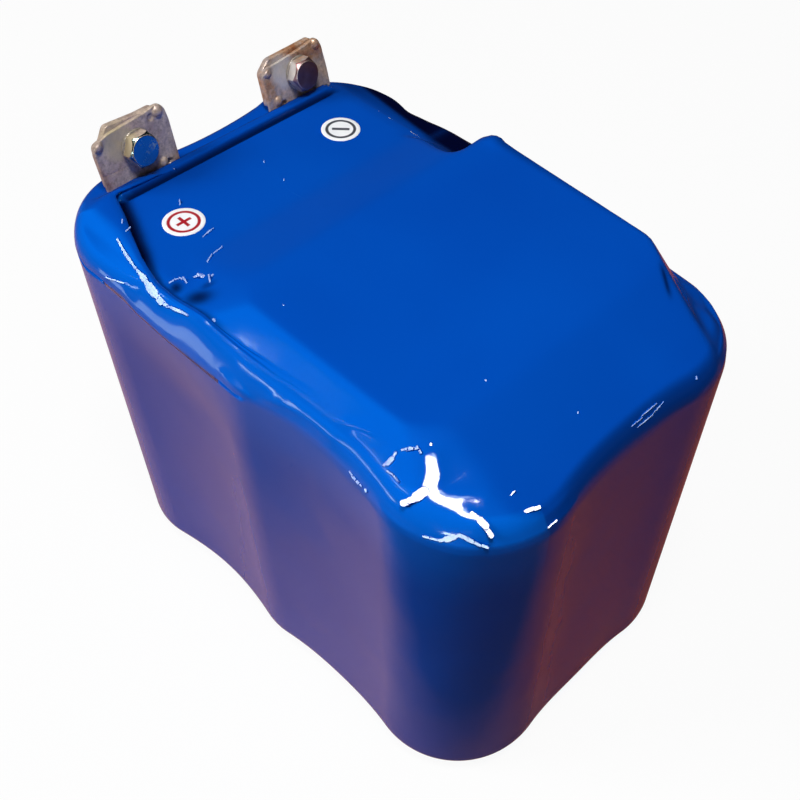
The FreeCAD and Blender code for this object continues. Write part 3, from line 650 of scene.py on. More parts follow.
def fold_shade(at):
    """Painted shadow on the deck beyond the fold's free edge, and painted shade in its pits."""
    flat = at * np.array([1, 1, 0])
    far, side, share = along_line(flat, FOLD_LINE)
    below = 1 - smooth(at[:, 2] - height(at[:, 0], at[:, 1]), 0.5, 1.2)
    reach = 3.4 - 2.0 * smooth(share, 0.35, 0.55)
    strength = (1 - 0.35 * smooth(share, 0.36, 0.5)) * (1 - smooth(share, 0.8, 1.0)) * smooth(share, 0.0, 0.04)
    dark = strength * np.exp(-(np.maximum(side, 0) / reach) ** 3) * smooth(side, -0.7, 0.0) * (far < 12)
    for (x, y), (rx, ry), turn, amount in PITS:
        c, r = math.cos(math.radians(turn)), math.sin(math.radians(turn))
        u = ((at[:, 0] - x) * c + (at[:, 1] - y) * r) / rx
        v = ((at[:, 1] - y) * c - (at[:, 0] - x) * r) / ry
        dark = np.maximum(dark, amount * np.exp(-(u * u + v * v) ** 1.3) * smooth(side, -0.7, 0.0))
    return dark * below * smooth(at[:, 2], 141, 143)


def vertex_values(mesh, source, name):
    """Three numbers for each vertex, as rows."""
    values = np.empty(len(mesh.vertices) * 3)
    source.foreach_get(name, values)
    return values.reshape(-1, 3)


def paint(mesh, name, value):
    """A number from none to one at each vertex, for the film's material."""
    mesh.attributes.new(name, "FLOAT", "POINT").data.foreach_set("value", np.clip(value, 0, 1).astype(np.float32))


def make_film():
    rings = film_surface()
    film = add_mesh("film", rings.reshape(-1, 3), strips(len(rings), COLUMNS), FILM)
    # opposite columns meet along the core
    face_outward(film, merge=0.00001)
    mesh = film.data
    at = vertex_values(mesh, mesh.vertices, "co") / MM
    normal = vertex_values(mesh, mesh.vertex_normals, "vector")
    lift = crease_lift(at)
    # no crease goes into the cells or the boards
    beside = can_distance(at[:, 0], at[:, 1]) - CAN_CLEAR
    room = np.maximum(at[:, 2] - inner_limit(at[:, 0], at[:, 1]), np.where(at[:, 2] < 140, beside, 0))
    lift = np.maximum(lift, -np.maximum(np.minimum(room, 0.6), 0))
    mesh.vertices.foreach_set("co", ((at + normal * lift[:, None]) * MM).ravel())
    mesh.update()
    # painted shade: shadows by the folds, and shoulders darkened where they turn away from the window
    top = smooth(at[:, 2], 139, 142)
    out = np.maximum(normal[:, 0], 0.75 * (normal[:, 0] + normal[:, 1]) * smooth(at[:, 1], 30, 45))
    right = 0.36 * smooth(out, 0.3, 0.75) * smooth(at[:, 0], 60, 80) * smooth(at[:, 1], -46, -20)
    left = 0.6 * smooth(-normal[:, 0], 0.25, 0.7) * smooth(-at[:, 0], 70, 84) * smooth(at[:, 1], -28, -12)
    turned = np.maximum(right, left) * smooth(at[:, 2], 134, 139) * smooth(normal[:, 2], 0.02, 0.15)
    paint(mesh, "shade", np.max([shade(at[:, 0], at[:, 1]) * top, fold_shade(at), turned], axis=0))
    # painted light: a lighter blue along the -Y rim and upper wall, which face the window, fading down the wall
    facing = smooth(-normal[:, 1] + 0.25 * normal[:, 0], 0.10, 0.45)
    rim = smooth(normal[:, 2], 0.04, 0.3) * smooth(at[:, 2], 130, 138) * (1 - 0.8 * smooth(at[:, 2], 146, 149.5))
    wall = 0.55 * smooth(at[:, 2], 112, 140)
    paint(mesh, "painted_light", 1.25 * facing * np.maximum(rim, wall) * (at[:, 1] < -36))
    mesh.polygons.foreach_set("use_smooth", [True] * len(mesh.polygons))
    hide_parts("film_wrap")
    return film


FILM_PIECE = make_film()

# Small sharp creases: half width, the azimuth and the elevation that their faces turn to, and the line's points
FACETS = (
    (0.5, -83, 57, (-61.4, -52.9, 146.9), (-57.4, -54.1, 146.6), (-53.6, -55.1, 146.3), (-50.3, -55.8, 146.1),
     (-46.8, -56.3, 146.0)),
    (0.9, -85, 58, (-46.8, -56.3, 146.0), (-44.4, -56.7, 146.0), (-41.6, -57.3, 145.9)),
    (1.45, -85, 58, (-41.6, -57.3, 145.9), (-38.8, -57.8, 145.5), (-36.3, -58.0, 145.0)),
    (0.9, -86, 58, (-36.3, -58.0, 145.0), (-33.8, -58.2, 144.5), (-31.3, -58.1, 144.6)),
    (0.5, -87, 58, (-31.3, -58.1, 144.6), (-28.4, -57.7, 145.2), (-25.3, -57.4, 146.1), (-22.5, -57.4, 146.8)),
    (0.3, -83, 58, (-56.4, -61.7, 141.2), (-54.2, -61.4, 141.7), (-52.5, -61.1, 142.3)),
    (0.35, -84, 58, (-51.6, -61.0, 142.4), (-49.1, -60.5, 143.0)),
    (2.3, -44, 68, (67.5, -54.6, 148.3), (67.0, -56.5, 147.6)),
    (1.5, -43, 69, (67.2, -56.7, 147.4), (65.4, -58.8, 145.6)),
    (1.1, -50, 69, (79.6, -50.1, 146.6), (82.0, -49.8, 146.1)),
    (1.6, -51, 69, (82.0, -49.8, 146.1), (83.7, -49.7, 145.1)),
    (1.1, -51, 70, (83.7, -49.7, 145.1), (85.5, -49.7, 143.3)),
    (0.4, -102, 59, (45.6, -59.4, 140.7), (48.2, -59.9, 140.2), (50.9, -60.2, 140.1)),
    (0.5, -103, 59, (52.5, -60.3, 140.5), (53.0, -60.5, 140.2)),
    (0.25, -21, 61, (-47.5, -33.0, 145.0), (-48.4, -28.6, 145.0)),
    (0.28, -21, 62, (-36.1, -39.8, 146.7), (-37.6, -37.2, 146.4)),
    (0.28, -21, 62, (-38.0, -36.2, 146.3), (-38.6, -32.8, 146.2)),
    (0.4, -17, 62, (-38.5, -52.0, 144.6), (-38.2, -50.3, 144.9), (-37.4, -49.1, 145.1)),
    (0.4, -18, 62, (-37.4, -49.1, 145.1), (-36.2, -48.6, 145.2), (-34.4, -48.9, 145.3)),
    (0.5, -19, 62, (-34.0, -46.3, 145.9), (-33.5, -45.1, 146.3)),
    (0.8, -19, 62, (-32.8, -45.3, 146.5), (-31.6, -44.7, 147.0)),
    (0.45, -20, 63, (-27.5, -45.2, 148.0), (-29.3, -44.2, 147.8), (-29.4, -43.0, 148.0)),
    (0.6, -19, 64, (-14.5, -54.3, 148.5), (-14.0, -54.4, 148.5)),
    (0.35, -15, 59, (-66.5, -47.6, 147.9), (-65.7, -48.2, 147.9)),
    (0.3, -15, 60, (-61.8, -49.6, 147.8), (-62.4, -47.8, 147.5)),
    (0.35, -20, 59, (-65.4, -28.0, 144.8), (-64.2, -28.8, 144.8)),
    (0.25, -27, 58, (-63.3, 3.5, 144.9), (-62.9, 3.2, 144.9)),
    (0.25, -28, 59, (-51.9, 2.2, 144.9), (-51.5, 1.8, 144.9)),
    (0.25, -25, 65, (-1.4, -40.1, 153.8), (-1.2, -39.9, 153.8)),
    (0.25, -44, 69, (55.9, -20.6, 153.7), (56.1, -20.4, 153.7)),
    (0.3, -55, 70, (77.6, -7.6, 148.5), (77.8, -7.8, 148.4)),
    (0.7, -102, 57, (54.4, -55.7, 148.0), (55.0, -54.8, 148.5), (55.2, -53.6, 149.3), (55.0, -52.1, 150.2)),
    (0.5, -102, 56, (55.8, -50.7, 150.9), (57.7, -49.1, 151.6), (58.9, -48.1, 151.8)),
    (0.5, -103, 56, (58.3, -47.9, 151.9), (60.2, -48.4, 151.6)),
    (0.4, -103, 57, (56.1, -56.2, 147.6), (58.1, -56.1, 147.7), (60.6, -56.5, 147.6)),
    (0.55, -45, 67, (60.3, -45.0, 152.3), (60.5, -45.2, 152.2)),
    (0.5, -59, 33, (73.1, -60.1, 140.6), (74.8, -59.4, 140.7), (76.5, -58.6, 140.8)),
    (0.85, -60, 33, (76.9, -58.3, 140.9), (78.2, -57.2, 141.6), (79.2, -56.1, 142.4), (80.3, -54.9, 143.1)),
    (1, -60, 33, (80.3, -54.9, 143.1), (81.7, -54.2, 142.6), (83.1, -53.5, 142.1)),
    (0.7, -61, 33, (83.1, -53.5, 142.1), (84.8, -52.4, 141.3), (86.2, -51.3, 140.7)),
    (0.9, -56, 69, (87.8, -39.2, 145.2), (89.1, -36.1, 144.8)),
    (0.35, -58, 69, (93.0, -36.2, 140.5), (93.1, -33.3, 140.7)),
    (0.35, -53, 68, (82.6, -39.2, 146.9), (82.5, -38.0, 146.9)),
    (0.15, -62, 70, (88.6, 2.2, 144.0), (88.8, 6.4, 143.9)),
    (0.17, -63, 70, (89.5, 4.0, 142.8), (89.7, 10.3, 142.8)),
    (0.15, -63, 69, (88.5, 6.7, 144.3), (88.7, 12.9, 144.4)),
    (0.15, -64, 69, (89.6, 10.4, 143.0), (89.5, 15.3, 143.9)),
    (0.4, -67, 68, (90.7, 28.5, 144.8), (91.0, 28.2, 144.5)),
)
# Longest straight piece of a line, sides of its face, width of its flanks, how far their feet go into the film, and
# how far the face stands proud
FACET_LENGTH = 1.7
FACET_SIDES = 16
FACET_FLANK = 0.3
FACET_SUNK = 0.06
FACET_PROUD = 0.04


def facet_pieces(line):
    """A line in short straight pieces."""
    pieces = []
    for first, last in zip(line[:-1], line[1:]):
        first, last = Vector(first), Vector(last)
        parts = max(1, round((last - first).length / FACET_LENGTH))
        pieces += [(first.lerp(last, k / parts), first.lerp(last, (k + 1) / parts)) for k in range(parts)]
    return pieces


def make_creases():
    """Flat faces a few tenths of a millimetre proud of the film, with flanks that run into it."""
    mesh = FILM_PIECE.data
    tree = BVHTree.FromPolygons([v.co / MM for v in mesh.vertices], [p.vertices for p in mesh.polygons])
    points, faces = [], []
    for half, azimuth, elevation, *line in FACETS:
        face = direction(azimuth, elevation)
        pieces = facet_pieces(line)
        for k, (first, last) in enumerate(pieces):
            # narrower at both ends of the line
            end = min(k, len(pieces) - 1 - k) / max(len(pieces) - 1, 1)
            wide = half * (0.55 + 0.9 * min(end, 0.5))
            middle, outward, _, _ = tree.find_nearest((first + last) / 2)
            along = last - first
            along = (along - along.dot(face) * face).normalized()
            across = face.cross(along)
            ring, skirt, least = [], [], 1e9
            for step in range(FACET_SIDES):
                turn = 2 * math.pi * step / FACET_SIDES
                c, r = math.cos(turn), math.sin(turn)
                lengthwise = ((last - first).length / 2) * (1 if c > 0 else -1) + wide * c
                at = middle + along * lengthwise + across * (wide * r)
                low = middle + along * (lengthwise + FACET_FLANK * c) + across * ((wide + FACET_FLANK) * r)
                near, up, _, _ = tree.find_nearest(at)
                least = min(least, (at - near).dot(up))
                near, up, _, _ = tree.find_nearest(low)
                ring.append(at)
                skirt.append(near - FACET_SUNK * up)
            lift = outward * (FACET_PROUD - least)
            start = len(points)
            points += [tuple(q + lift) for q in ring] + [tuple(q) for q in skirt]
            faces.append(tuple(range(start, start + FACET_SIDES)))
            for step in range(FACET_SIDES):
                a, b = start + step, start + (step + 1) % FACET_SIDES
                faces.append((a, a + FACET_SIDES, b + FACET_SIDES, b))
    creases = add_mesh("film_creases", points, faces, FILM, smooth=False)


make_creases()


# ---------------------------------------------------------------- stickers

STICKER_R = 6.5


def sticker_material(name, ink, angle, arms, centre):
    """White vinyl with a printed ring and polarity mark, drawn from distances in the sticker's plane."""
    n = Nodes(name)
    at = n.add("ShaderNodeMapping", {"Vector": n.place(), "Location": (-centre[0] * MM, -centre[1] * MM, 0)})
    turn = n.add("ShaderNodeVectorRotate", {"Vector": at.outputs["Vector"], "Angle": math.radians(angle)},
                 rotation_type="Z_AXIS")
    x, y, _ = n.add("ShaderNodeSeparateXYZ", {"Vector": turn.outputs["Vector"]}).outputs

    def band(value, middle, half, soft):
        """One inside a band of values, falling to zero over a short width."""
        off = n.calc("ABSOLUTE", n.calc("SUBTRACT", value, middle * MM))
        return n.calc("MULTIPLY", n.calc("SUBTRACT", (half + soft / 2) * MM, off), 1 / (soft * MM), clamp=True)

    radius = n.calc("SQRT", n.calc("ADD", n.calc("MULTIPLY", x, x), n.calc("MULTIPLY", y, y)))
    ring = band(radius, 4.62, 0.5, 0.3)
    long_half, thin_half = (2.6, 0.55) if arms == 2 else (2.9, 0.62)
    for along, across in ((x, y), (y, x))[:arms]:
        bar = n.calc("MULTIPLY", band(along, 0, long_half, 0.25), band(across, 0, thin_half, 0.25))
        ring = n.calc("MAXIMUM", ring, bar)
    vinyl = n.ramp(n.noise(300, 3), (0.3, (0.86, 0.88, 0.90)), (0.7, (0.93, 0.94, 0.95)))
    n.set(Base_Color=n.mix(ring, vinyl, ink), Roughness=n.ramp(n.noise(500, 3), (0.3, 0.3), (0.7, 0.42)),
          Normal=n.bump(n.noise(900, 2), 0.00003))
    return n.material


def circle(count):
    """Points round a unit circle."""
    angles = np.arange(count) / count * 2 * math.pi
    return np.stack([np.cos(angles), np.sin(angles)], -1)


def make_sticker(name, ink, angle, arms, centre):
    """A thin disc with a slightly lifted, rounded edge, laid on the film."""
    count = 96
    low, top = -0.1, 0.16
    profile = [(STICKER_R, low), (STICKER_R, top - 0.05), (STICKER_R - 0.05, top)]
    profile += [(r, top) for r in (5.6, 4.6, 3.4, 2.2, 1.0)]
    points = []
    for r, z in profile:
        x, y = (centre + r * circle(count)).T
        points.append(np.column_stack([x, y, height(x, y) + z]))
    faces = strips(len(profile), count)
    last = (len(profile) - 1) * count
    faces.append(tuple(range(last, last + count)))
    material = sticker_material(name + "_print", ink, angle, arms, centre)
    piece = add_mesh(name + "_sticker_print", np.concatenate(points), faces, material)
    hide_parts(name + "_sticker")


make_sticker("plus", (0.40, 0.01, 0.02), 0, 2, (-57.0, -32.9))
make_sticker("minus", (0.05, 0.055, 0.07), -45, 1, (-59.6, 33.3))


# ---------------------------------------------------------------- terminals

LID = 140.2
TAB_FRONT = -81.4
HEAD_FLATS = 10.0
HEAD_SIDES = 144
# Height over the lid at which the tab's leg takes over from its foot
BEND_TOP = 3.2


def stand(post_y, lean, yaw):
    """Matrix from a terminal's upright frame, its front face in x = 0, to the row frame in millimetres."""
    return (Matrix.Translation((TAB_FRONT, post_y, LID)) @ Matrix.Rotation(math.radians(yaw), 4, "Z")
            @ Matrix.Rotation(-math.radians(lean), 4, "Y"))


def rounded(corners, radius, count):
    """A closed outline through corners in (y, z), each rounded, resampled to an even spacing."""
    corners = np.array(corners, float)
    points = []
    for i, corner in enumerate(corners):
        ends = []
        for other in (corners[i - 1], corners[(i + 1) % len(corners)]):
            length = np.linalg.norm(other - corner)
            ends.append(corner + (other - corner) / length * min(radius, length * 0.45))
        for t in np.linspace(0, 1, 9):
            points.append((1 - t) ** 2 * ends[0] + 2 * t * (1 - t) * corner + t * t * ends[1])
    closed = np.array(points + points[:1])
    s = run_length(closed)
    t = np.arange(count) / count * s[-1]
    return np.stack([np.interp(t, s, closed[:, k]) for k in (0, 1)], -1)


def plate(corners, front, back, face, count=300, rings=44, edge=0.4):
    """A plate with rounded edges between x = back and x = front. face(y, z) is the front's relief."""
    rim = rounded(corners, 1.1, count)
    ahead = np.roll(rim, -1, 0) - np.roll(rim, 1, 0)
    inward = np.stack([-ahead[:, 1], ahead[:, 0]], -1)
    inward /= np.linalg.norm(inward, axis=1, keepdims=True)
    middle = rim.mean(0)
    inward *= np.sign(np.sum(inward * (middle - rim)))
    points = []

    def ring(outline, x):
        points.append(np.column_stack([np.broadcast_to(x, (count,)), outline]))

    for share in (0.02, 0.3, 0.6, 0.85):
        ring(middle + (rim - middle) * share, back)
    for turn in np.linspace(0, math.pi / 2, 5):
        ring(rim + inward * edge * (1 - math.sin(turn)), back + edge * (1 - math.cos(turn)))
    for turn in np.linspace(0, math.pi / 2, 7):
        q = rim + inward * edge * (1 - math.cos(turn))
        ring(q, front - edge * (1 - math.sin(turn)) + face(*q.T))
    start = rim + inward * edge
    for t in np.linspace(0, 1, rings)[1:-1]:
        q = start + (middle - start) * t
        ring(q, front + face(*q.T))
    return closed_rings(points)


def lathe(centre, rings):
    """A closed form round an axis along x, from rings as (x, radius). A radius may differ round the ring."""
    count = HEAD_SIDES if any(np.ndim(r) for _, r in rings) else 96
    unit = circle(count)[:, ::-1]
    return closed_rings([np.column_stack([np.broadcast_to(x, (count,)), centre + unit * np.reshape(r, (-1, 1))])
                         for x, r in rings])


def head(centre, base, height_of_head, face_radius):
    """Bevelled hexagon head, with a round face."""
    angle = np.arange(HEAD_SIDES) / HEAD_SIDES * 2 * math.pi
    sector = (angle + math.pi / 6) % (math.pi / 3) - math.pi / 6
    hexagon = HEAD_FLATS / 2 / np.cos(sector)
    top = base + height_of_head
    cone = np.maximum(hexagon - face_radius, 0.02)
    rings = [(top, face_radius * share) for share in (0.02, 0.4, 0.8, 0.9)]
    rings += [(top, face_radius - 0.16), (top - 0.03, face_radius - 0.05), (top - 0.12, face_radius)]
    rings += [(top - 0.14 - cone * 1.1 * t, face_radius + (hexagon - face_radius) * t) for t in (0.1, 0.5, 0.95)]
    rings += [(top - 0.35 - cone * 1.1, hexagon), (base + 0.05, hexagon), (base - 0.3, hexagon - 0.1)]
    return lathe(centre, rings)


def closed_rings(rings):
    """Points and faces of a closed form, from its rings of points."""
    count = len(rings[0])
    last = (len(rings) - 1) * count
    return np.concatenate(rings), strips(len(rings), count) + [tuple(range(count)), tuple(range(last, last + count))]


def disc(centre, low, high, radius):
    """A washer seen as a thin round plate with a soft edge."""
    return lathe(centre, [(low, 0.2), (low, radius - 0.2), (low + 0.2, radius), (high - 0.3, radius),
                          (high - 0.1, radius - 0.1), (high, radius - 0.3), (high, radius - 0.9), (high, 0.2)])


def placed(name, form, matrix, material, node):
    """A form as a piece in place of a node, which it hides, with its quads smooth."""
    points, faces = form
    piece = add_mesh(name, [matrix @ Vector(q) for q in points], faces, material)
    face_outward(piece)
    piece.data.polygons.foreach_set("use_smooth", [len(p.vertices) == 4 for p in piece.data.polygons])
    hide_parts(node)
    return piece


def tab_foot(source):
    """The foot and the bend, as they are in the tab's node: its part below the leg."""
    b = bmesh.new()
    b.from_mesh(source.data)
    b.transform(source.matrix_world)
    bmesh.ops.bisect_plane(b, geom=b.verts[:] + b.edges[:] + b.faces[:], plane_co=(0, 0, (LID + BEND_TOP) * MM),
                           plane_no=(0, 0, 1), clear_outer=True)
    bmesh.ops.holes_fill(b, edges=[e for e in b.edges if e.is_boundary])
    b.verts.index_update()
    points = [tuple(v.co / MM) for v in b.verts]
    faces = [tuple(v.index for v in f.verts) for f in b.faces]
    b.free()
    return points, faces


def dome(y, z, at_y, at_z, radius, rise):
    """A pressed pip of the tab."""
    far = np.hypot(y - at_y, z - at_z) / radius
    return rise * np.clip(1 - far ** 2, 0, 1) ** 0.8


def pit(y, z, at_y, at_z, radius, depth):
    """A worn pit of the tab."""
    far = np.hypot(y - at_y, z - at_z) / radius
    return -depth * (1 - smooth(far, 0.6, 1.1))


def plus_face(y, z):
    """Pips, pits and a crease of the plus tab's front."""
    relief = dome(y, z, -12.0, 20.9, 1.8, 0.9) + dome(y, z, 11.2, 21.8, 1.9, 1.1) + dome(y, z, 8.1, 5.8, 1.7, 0.9)
    relief = relief + pit(y, z, 10.3, 4.9, 1.3, 1.0) + pit(y, z, 8.3, 21.2, 1.2, 0.35)
    crease = np.abs((z - 11.2) + 0.10 * (y + 10))
    relief = relief - 0.12 * np.exp(-(crease / 0.22) ** 2) * smooth(-y, 1.5, 4) * smooth(y, -14.6, -13.4)
    # the top left corner leans forward a little, and the face is hollow by the bolt
    return relief + 0.5 * smooth(-y + (z - 20) * 0.8, 9.5, 15) - 0.25 * np.exp(-((y + 4) ** 2 + (z - 17) ** 2) / 30)


def minus_face(y, z):
    """Pips, pits and a hollow of the minus tab's front."""
    relief = dome(y, z, -10.6, 17.8, 1.8, 0.9) + dome(y, z, 11.4, 19.2, 1.8, 1.0) + dome(y, z, -8.9, 7.4, 1.7, 0.9)
    relief = relief + pit(y, z, -6.6, 5.4, 1.3, 1.0) - 0.2 * np.exp(-((y + 9) ** 2 + (z - 21) ** 2) / 4)
    return relief - 0.3 * smooth(z + y * 0.25, 12, 18) * (1 - smooth(z + y * 0.25, 18, 20.5))


def rear_face(y, z):
    """Slight waves of the second plates."""
    return 0.1 * np.sin(y * 0.7) * np.sin(z * 0.5)


def tarnish_material(name, stops, centre, pale):
    """Worn nickel plate: blotches, scratches, and a pale patch round a place."""
    n = Nodes(name)
    blotch = n.ramp(n.noise(110, 6, 0.62), *stops)
    fine = n.ramp(n.noise(900, 4, 0.7), (0.30, (0.62, 0.58, 0.55)), (0.55, (1.0, 1.0, 1.0)),
                  (0.75, (1.18, 1.15, 1.12)))
    near = n.add("ShaderNodeMapping", {"Vector": n.place(), "Location": tuple(-c * MM for c in centre)})
    length = n.add("ShaderNodeVectorMath", {0: near.outputs["Vector"]}, operation="LENGTH").outputs["Value"]
    reach = n.calc("ADD", length, n.calc("MULTIPLY", n.noise(140, 2), 0.004))
    patch = n.add("ShaderNodeMapRange", {"Value": reach, "From Min": 0.0085, "From Max": 0.0062, "To Min": 0.0,
                                         "To Max": 0.75}).outputs[0]
    n.set(Base_Color=n.mix(patch, n.mix(1.0, blotch, fine, "MULTIPLY"), pale), Metallic=0.35,
          Roughness=n.ramp(n.noise(260, 5), (0.3, 0.28), (0.7, 0.5)),
          Normal=n.bump(n.noise(1500, 3, stretch=(1, 1, 0.2)), 0.00004, normal=n.bump(n.noise(240, 3), 0.00035)))
    return n.material


def head_material(name, low, high, scratch, rough):
    """Polished bolt head with worn, scratched places."""
    n = Nodes(name)
    worn = n.calc("MULTIPLY", n.noise(1300, 5, 0.75), n.noise(240, 2))
    n.set(Base_Color=n.ramp(n.noise(200, 4), (0.3, low), (0.7, high)),
          Metallic=n.ramp(worn, (0.36, 1.0), (0.44, scratch)),
          Roughness=n.ramp(worn, (0.30, rough), (0.44, 0.45)),
          Normal=n.bump(n.noise(700, 3), 0.00006, normal=n.bump(n.noise(200, 1), 0.0004)))
    return n.material


PLUS_STAND = stand(-28.2, 9.0, 4.5) @ Matrix.Translation((-0.5, 0, 0))
MINUS_STAND = stand(35.2, 12.0, 2.0)
PLUS_METAL = tarnish_material("plus_tab_metal", ((0.32, (0.30, 0.13, 0.09)), (0.42, (0.61, 0.42, 0.34)),
                                                 (0.54, (0.65, 0.51, 0.44)), (0.68, (0.90, 0.72, 0.56))),
                              tuple(PLUS_STAND @ Vector((0, -4.5, 19))), (0.75, 0.62, 0.37))
MINUS_METAL = tarnish_material("minus_tab_metal", ((0.32, (0.50, 0.20, 0.09)), (0.44, (0.69, 0.43, 0.27)),
                                                   (0.54, (0.58, 0.48, 0.45)), (0.70, (0.90, 0.67, 0.49))),
                               tuple(MINUS_STAND @ Vector((0, -4.0, 15.5))), (0.90, 0.85, 0.80))
# metal tone mixed with painted reflection: greenish blue on the plus head for the film that it mirrors, red-brown on
# the minus head
HEAD_METAL = head_material("head_metal", (0.46, 0.62, 0.56), (0.60, 0.74, 0.68), 0.6, 0.2)
DULL_METAL = head_material("dull_head_metal", (0.42, 0.20, 0.20), (0.56, 0.32, 0.31), 0.3, 0.42)
WASHER_METAL = tarnish_material("washer_metal", ((0.30, (0.34, 0.28, 0.22)), (0.5, (0.46, 0.40, 0.34)),
                                                 (0.62, (0.54, 0.48, 0.40)), (0.76, (0.70, 0.64, 0.58))),
                                (0, 0, 0), (0.7, 0.7, 0.7))

PLUS_FRONT = ((-13.7, 20.6), (-12.9, 22.0), (-7.3, 23.0), (6.5, 23.4), (10.6, 24.0), (12.6, 23.7), (14.0, 21.9),
              (14.5, 18.2), (14.2, 2.0), (-13.5, 2.0))
PLUS_REAR = ((-12.6, 18.0), (-9.0, 21.4), (-6.4, 24.6), (4.8, 23.4), (11.0, 23.2), (12.6, 21.5), (13.0, 6.0),
             (-12.6, 6.0))
MINUS_FRONT = ((-12.7, 17.4), (-10.4, 19.2), (-6.0, 19.2), (6.7, 20.2), (10.9, 21.0), (12.2, 20.8), (13.7, 18.3),
               (14.3, 13.6), (14.3, 2.0), (-12.9, 2.0))
MINUS_REAR = ((-12.2, 17.6), (-8.0, 20.9), (6.4, 21.0), (10.8, 21.1), (12.8, 18.6), (13.1, 6.0), (-12.4, 6.0))

for end, matrix, front, rear, face, metal, bolt_metal, centre, size in (
        ("plus", PLUS_STAND, PLUS_FRONT, PLUS_REAR, plus_face, PLUS_METAL, HEAD_METAL, (0.7, 15.0), 4.75),
        ("minus", MINUS_STAND, MINUS_FRONT, MINUS_REAR, minus_face, MINUS_METAL, DULL_METAL, (2.1, 12.9), 4.6)):
    tab = end + "_terminal_tab"
    leg = placed(end + "_tab_leg", plate(front, 0, -1.5, face), matrix, metal, tab)
    foot = add_mesh(end + "_tab_foot", *tab_foot(nodes[tab]), metal, smooth=False)
    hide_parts(tab)
    second = placed(end + "_rear_plate", plate(rear, -1.6, -4.0, rear_face, 200, 12), matrix, metal,
                    end + "_nut_plate")
    washer = placed(end + "_washer_ring", disc(centre, 0.0, 0.8, 5.7), matrix, WASHER_METAL, end + "_washer")
    bolt = placed(end + "_bolt_head", head(centre, 0.8, 3.8, size), matrix, bolt_metal, end + "_bolt")
    bolt.data.materials.append(metal)  # the flats round the head are as dull as the tab
    axis = matrix.to_3x3() @ Vector((1, 0, 0))
    for side in bolt.data.polygons:
        side.material_index = int(abs(side.normal.dot(axis)) < 0.6)
    for piece in (leg, second, washer, bolt):
        piece.visible_glossy = False  # the film has no clear reflection of them in the photo


# ---------------------------------------------------------------- stage and light


def ground(n, size, depth):
    """A square under the object, in metres, with a material that has no gloss."""
    mesh = bpy.data.meshes.new(n.material.name)
    mesh.from_pydata([(x * size, y * size, 0) for x, y in ((-1, -1), (1, -1), (1, 1), (-1, 1))], [], [(0, 1, 2, 3)])
    n.shader.inputs["Specular IOR Level"].default_value = 0.0
    mesh.materials.append(n.material)
    item = bpy.data.objects.new(n.material.name, mesh)
    item.location.z = -depth
    bpy.context.scene.collection.objects.link(item)
    return item


def make_floor():
    """Pale floor. What the camera sees of it is most of the way to white, with the shadow kept."""
    n = Nodes("floor")
    n.set(Base_Color=n.ramp(n.noise(6, 2), (0.3, (0.82, 0.82, 0.82)), (0.7, (0.84, 0.84, 0.84))), Roughness=0.9)
    rays = n.add("ShaderNodeLightPath").outputs
    seen = n.calc("MAXIMUM", rays["Is Camera Ray"], rays["Is Glossy Ray"])
    white = n.add("ShaderNodeEmission", {"Color": (1, 1, 1, 1), "Strength": 1.0})
    n.finish(n.add("ShaderNodeMixShader", {0: n.calc("MULTIPLY", seen, 0.94), 1: n.shader.outputs[0],
                                           2: white.outputs[0]}))
    floor = ground(n, 6, 0.0003)
    floor.visible_diffuse = False
    floor.visible_glossy = False
    floor.visible_shadow = False


def make_mat():
    """Warm cloth under the object, seen in the film's gloss and by its light, and not by the camera."""
    n = Nodes("mat")
    x, y, _ = n.add("ShaderNodeSeparateXYZ", {"Vector": n.place()}).outputs

    def rise(value, low, high):
        return n.calc("MULTIPLY", n.calc("SUBTRACT", value, low), 1 / (high - low), clamp=True)

    # red by the +X end, blue where the long side's upper wall looks, dark in front of the near corner, dim far away
    colour = n.mix(rise(n.calc("ADD", x, y), -0.02, 0.10), (0.58, 0.33, 0.36), (0.52, 0.13, 0.09))
    beyond = n.calc("MULTIPLY", rise(n.calc("MULTIPLY", y, -1.0), 0.095, 0.135), rise(x, -0.12, 0.0))
    colour = n.mix(n.calc("MULTIPLY", beyond, 0.9), colour, (0.05, 0.20, 0.62))
    ahead = n.calc("SUBTRACT", n.calc("MULTIPLY", x, 0.73), n.calc("MULTIPLY", y, 0.68))
    colour = n.mix(n.calc("MULTIPLY", rise(ahead, 0.078, 0.122), 0.93), colour, (0.04, 0.05, 0.09))
    far = n.add("ShaderNodeVectorMath", {0: n.place()}, operation="LENGTH").outputs["Value"]
    n.set(Base_Color=n.mix(rise(far, 0.22, 0.5), colour, (0.07, 0.06, 0.08)), Roughness=1.0,
          Normal=n.bump(n.noise(400, 3), 0.0003))
    ground(n, 2.5, 0.0008).visible_camera = False


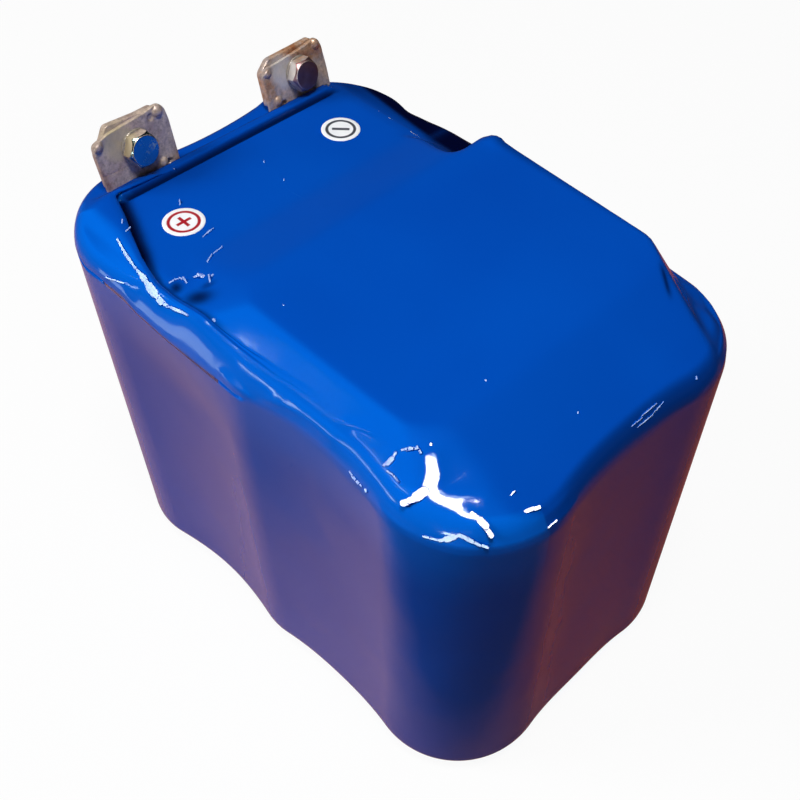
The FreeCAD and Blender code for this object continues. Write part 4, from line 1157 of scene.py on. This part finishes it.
def lamp(name, place, size, power, colour=(1, 1, 1)):
    """A rectangular lamp that faces the middle of the object's top."""
    data = bpy.data.lights.new(name, "AREA")
    data.shape = "RECTANGLE"
    data.size, data.size_y = size
    data.energy = power
    data.color = colour
    item = bpy.data.objects.new(name, data)
    bpy.context.scene.collection.objects.link(item)
    item.location = Vector(place)
    item.rotation_euler = (item.location - TOP_MIDDLE).to_track_quat("Z", "Y").to_euler()
    return item


def from_side(azimuth, elevation, distance):
    """A place seen from the top's middle at an azimuth and an elevation."""
    return TOP_MIDDLE + distance * direction(azimuth, elevation)


def glint(name, place, size, brightness):
    """A small lamp that only the gloss shows."""
    item = lamp(name, place, size, brightness * math.pi * size[0] * size[1], (0.80, 0.98, 1.0))
    item.visible_diffuse = False
    return item


TOP_MIDDLE = Vector((0, 0, 0.14))
make_floor()
make_mat()
lamp("key", (0.137, -0.109, 0.85), (0.18, 0.18), 4.0)
lamp("window", from_side(-128, 36, 1.4), (0.5, 0.5), 11.6).visible_glossy = False
glint("side", from_side(-140, 38, 1.4), (0.07, 0.07), 24)
glint("rim", from_side(-118, 2.5, 1.4), (0.22, 0.05), 8)
glint("soft", from_side(-120, 34, 1.4), (0.12, 0.08), 5)
glint("front", from_side(-64, 8, 1.3), (0.14, 0.12), 22)
glint("over", (0.085, 0.02, 0.85), (0.06, 0.06), 10)
# flat on the floor, shining up at the fold
glint("fan", (-0.344, -0.396, 0.004), (0.10, 0.24), 2.0).rotation_euler = (math.pi, 0, math.radians(-42))
lamp("face", from_side(-62, 12, 1.3), (0.4, 0.4), 1.3).visible_glossy = False


def make_world():
    """White to the camera; dim for the rest, a little brighter near and below the horizon."""
    n = Nodes("world", "worlds")
    bpy.context.scene.world = n.material
    split = n.add("ShaderNodeSeparateXYZ", {"Vector": n.add("ShaderNodeTexCoord").outputs["Generated"]})
    dim = n.tree.nodes["Background"]
    n.put(n.ramp(split.outputs["Z"], (0.0, (0.03, 0.03, 0.035)), (0.30, (0.012, 0.012, 0.016))), dim.inputs["Color"])
    white = n.add("ShaderNodeBackground", {"Strength": 1.0, "Color": (1, 1, 1, 1)})
    rays = n.add("ShaderNodeLightPath")
    n.finish(n.add("ShaderNodeMixShader", {0: rays.outputs["Is Camera Ray"], 1: dim.outputs[0], 2: white.outputs[0]}))


make_world()
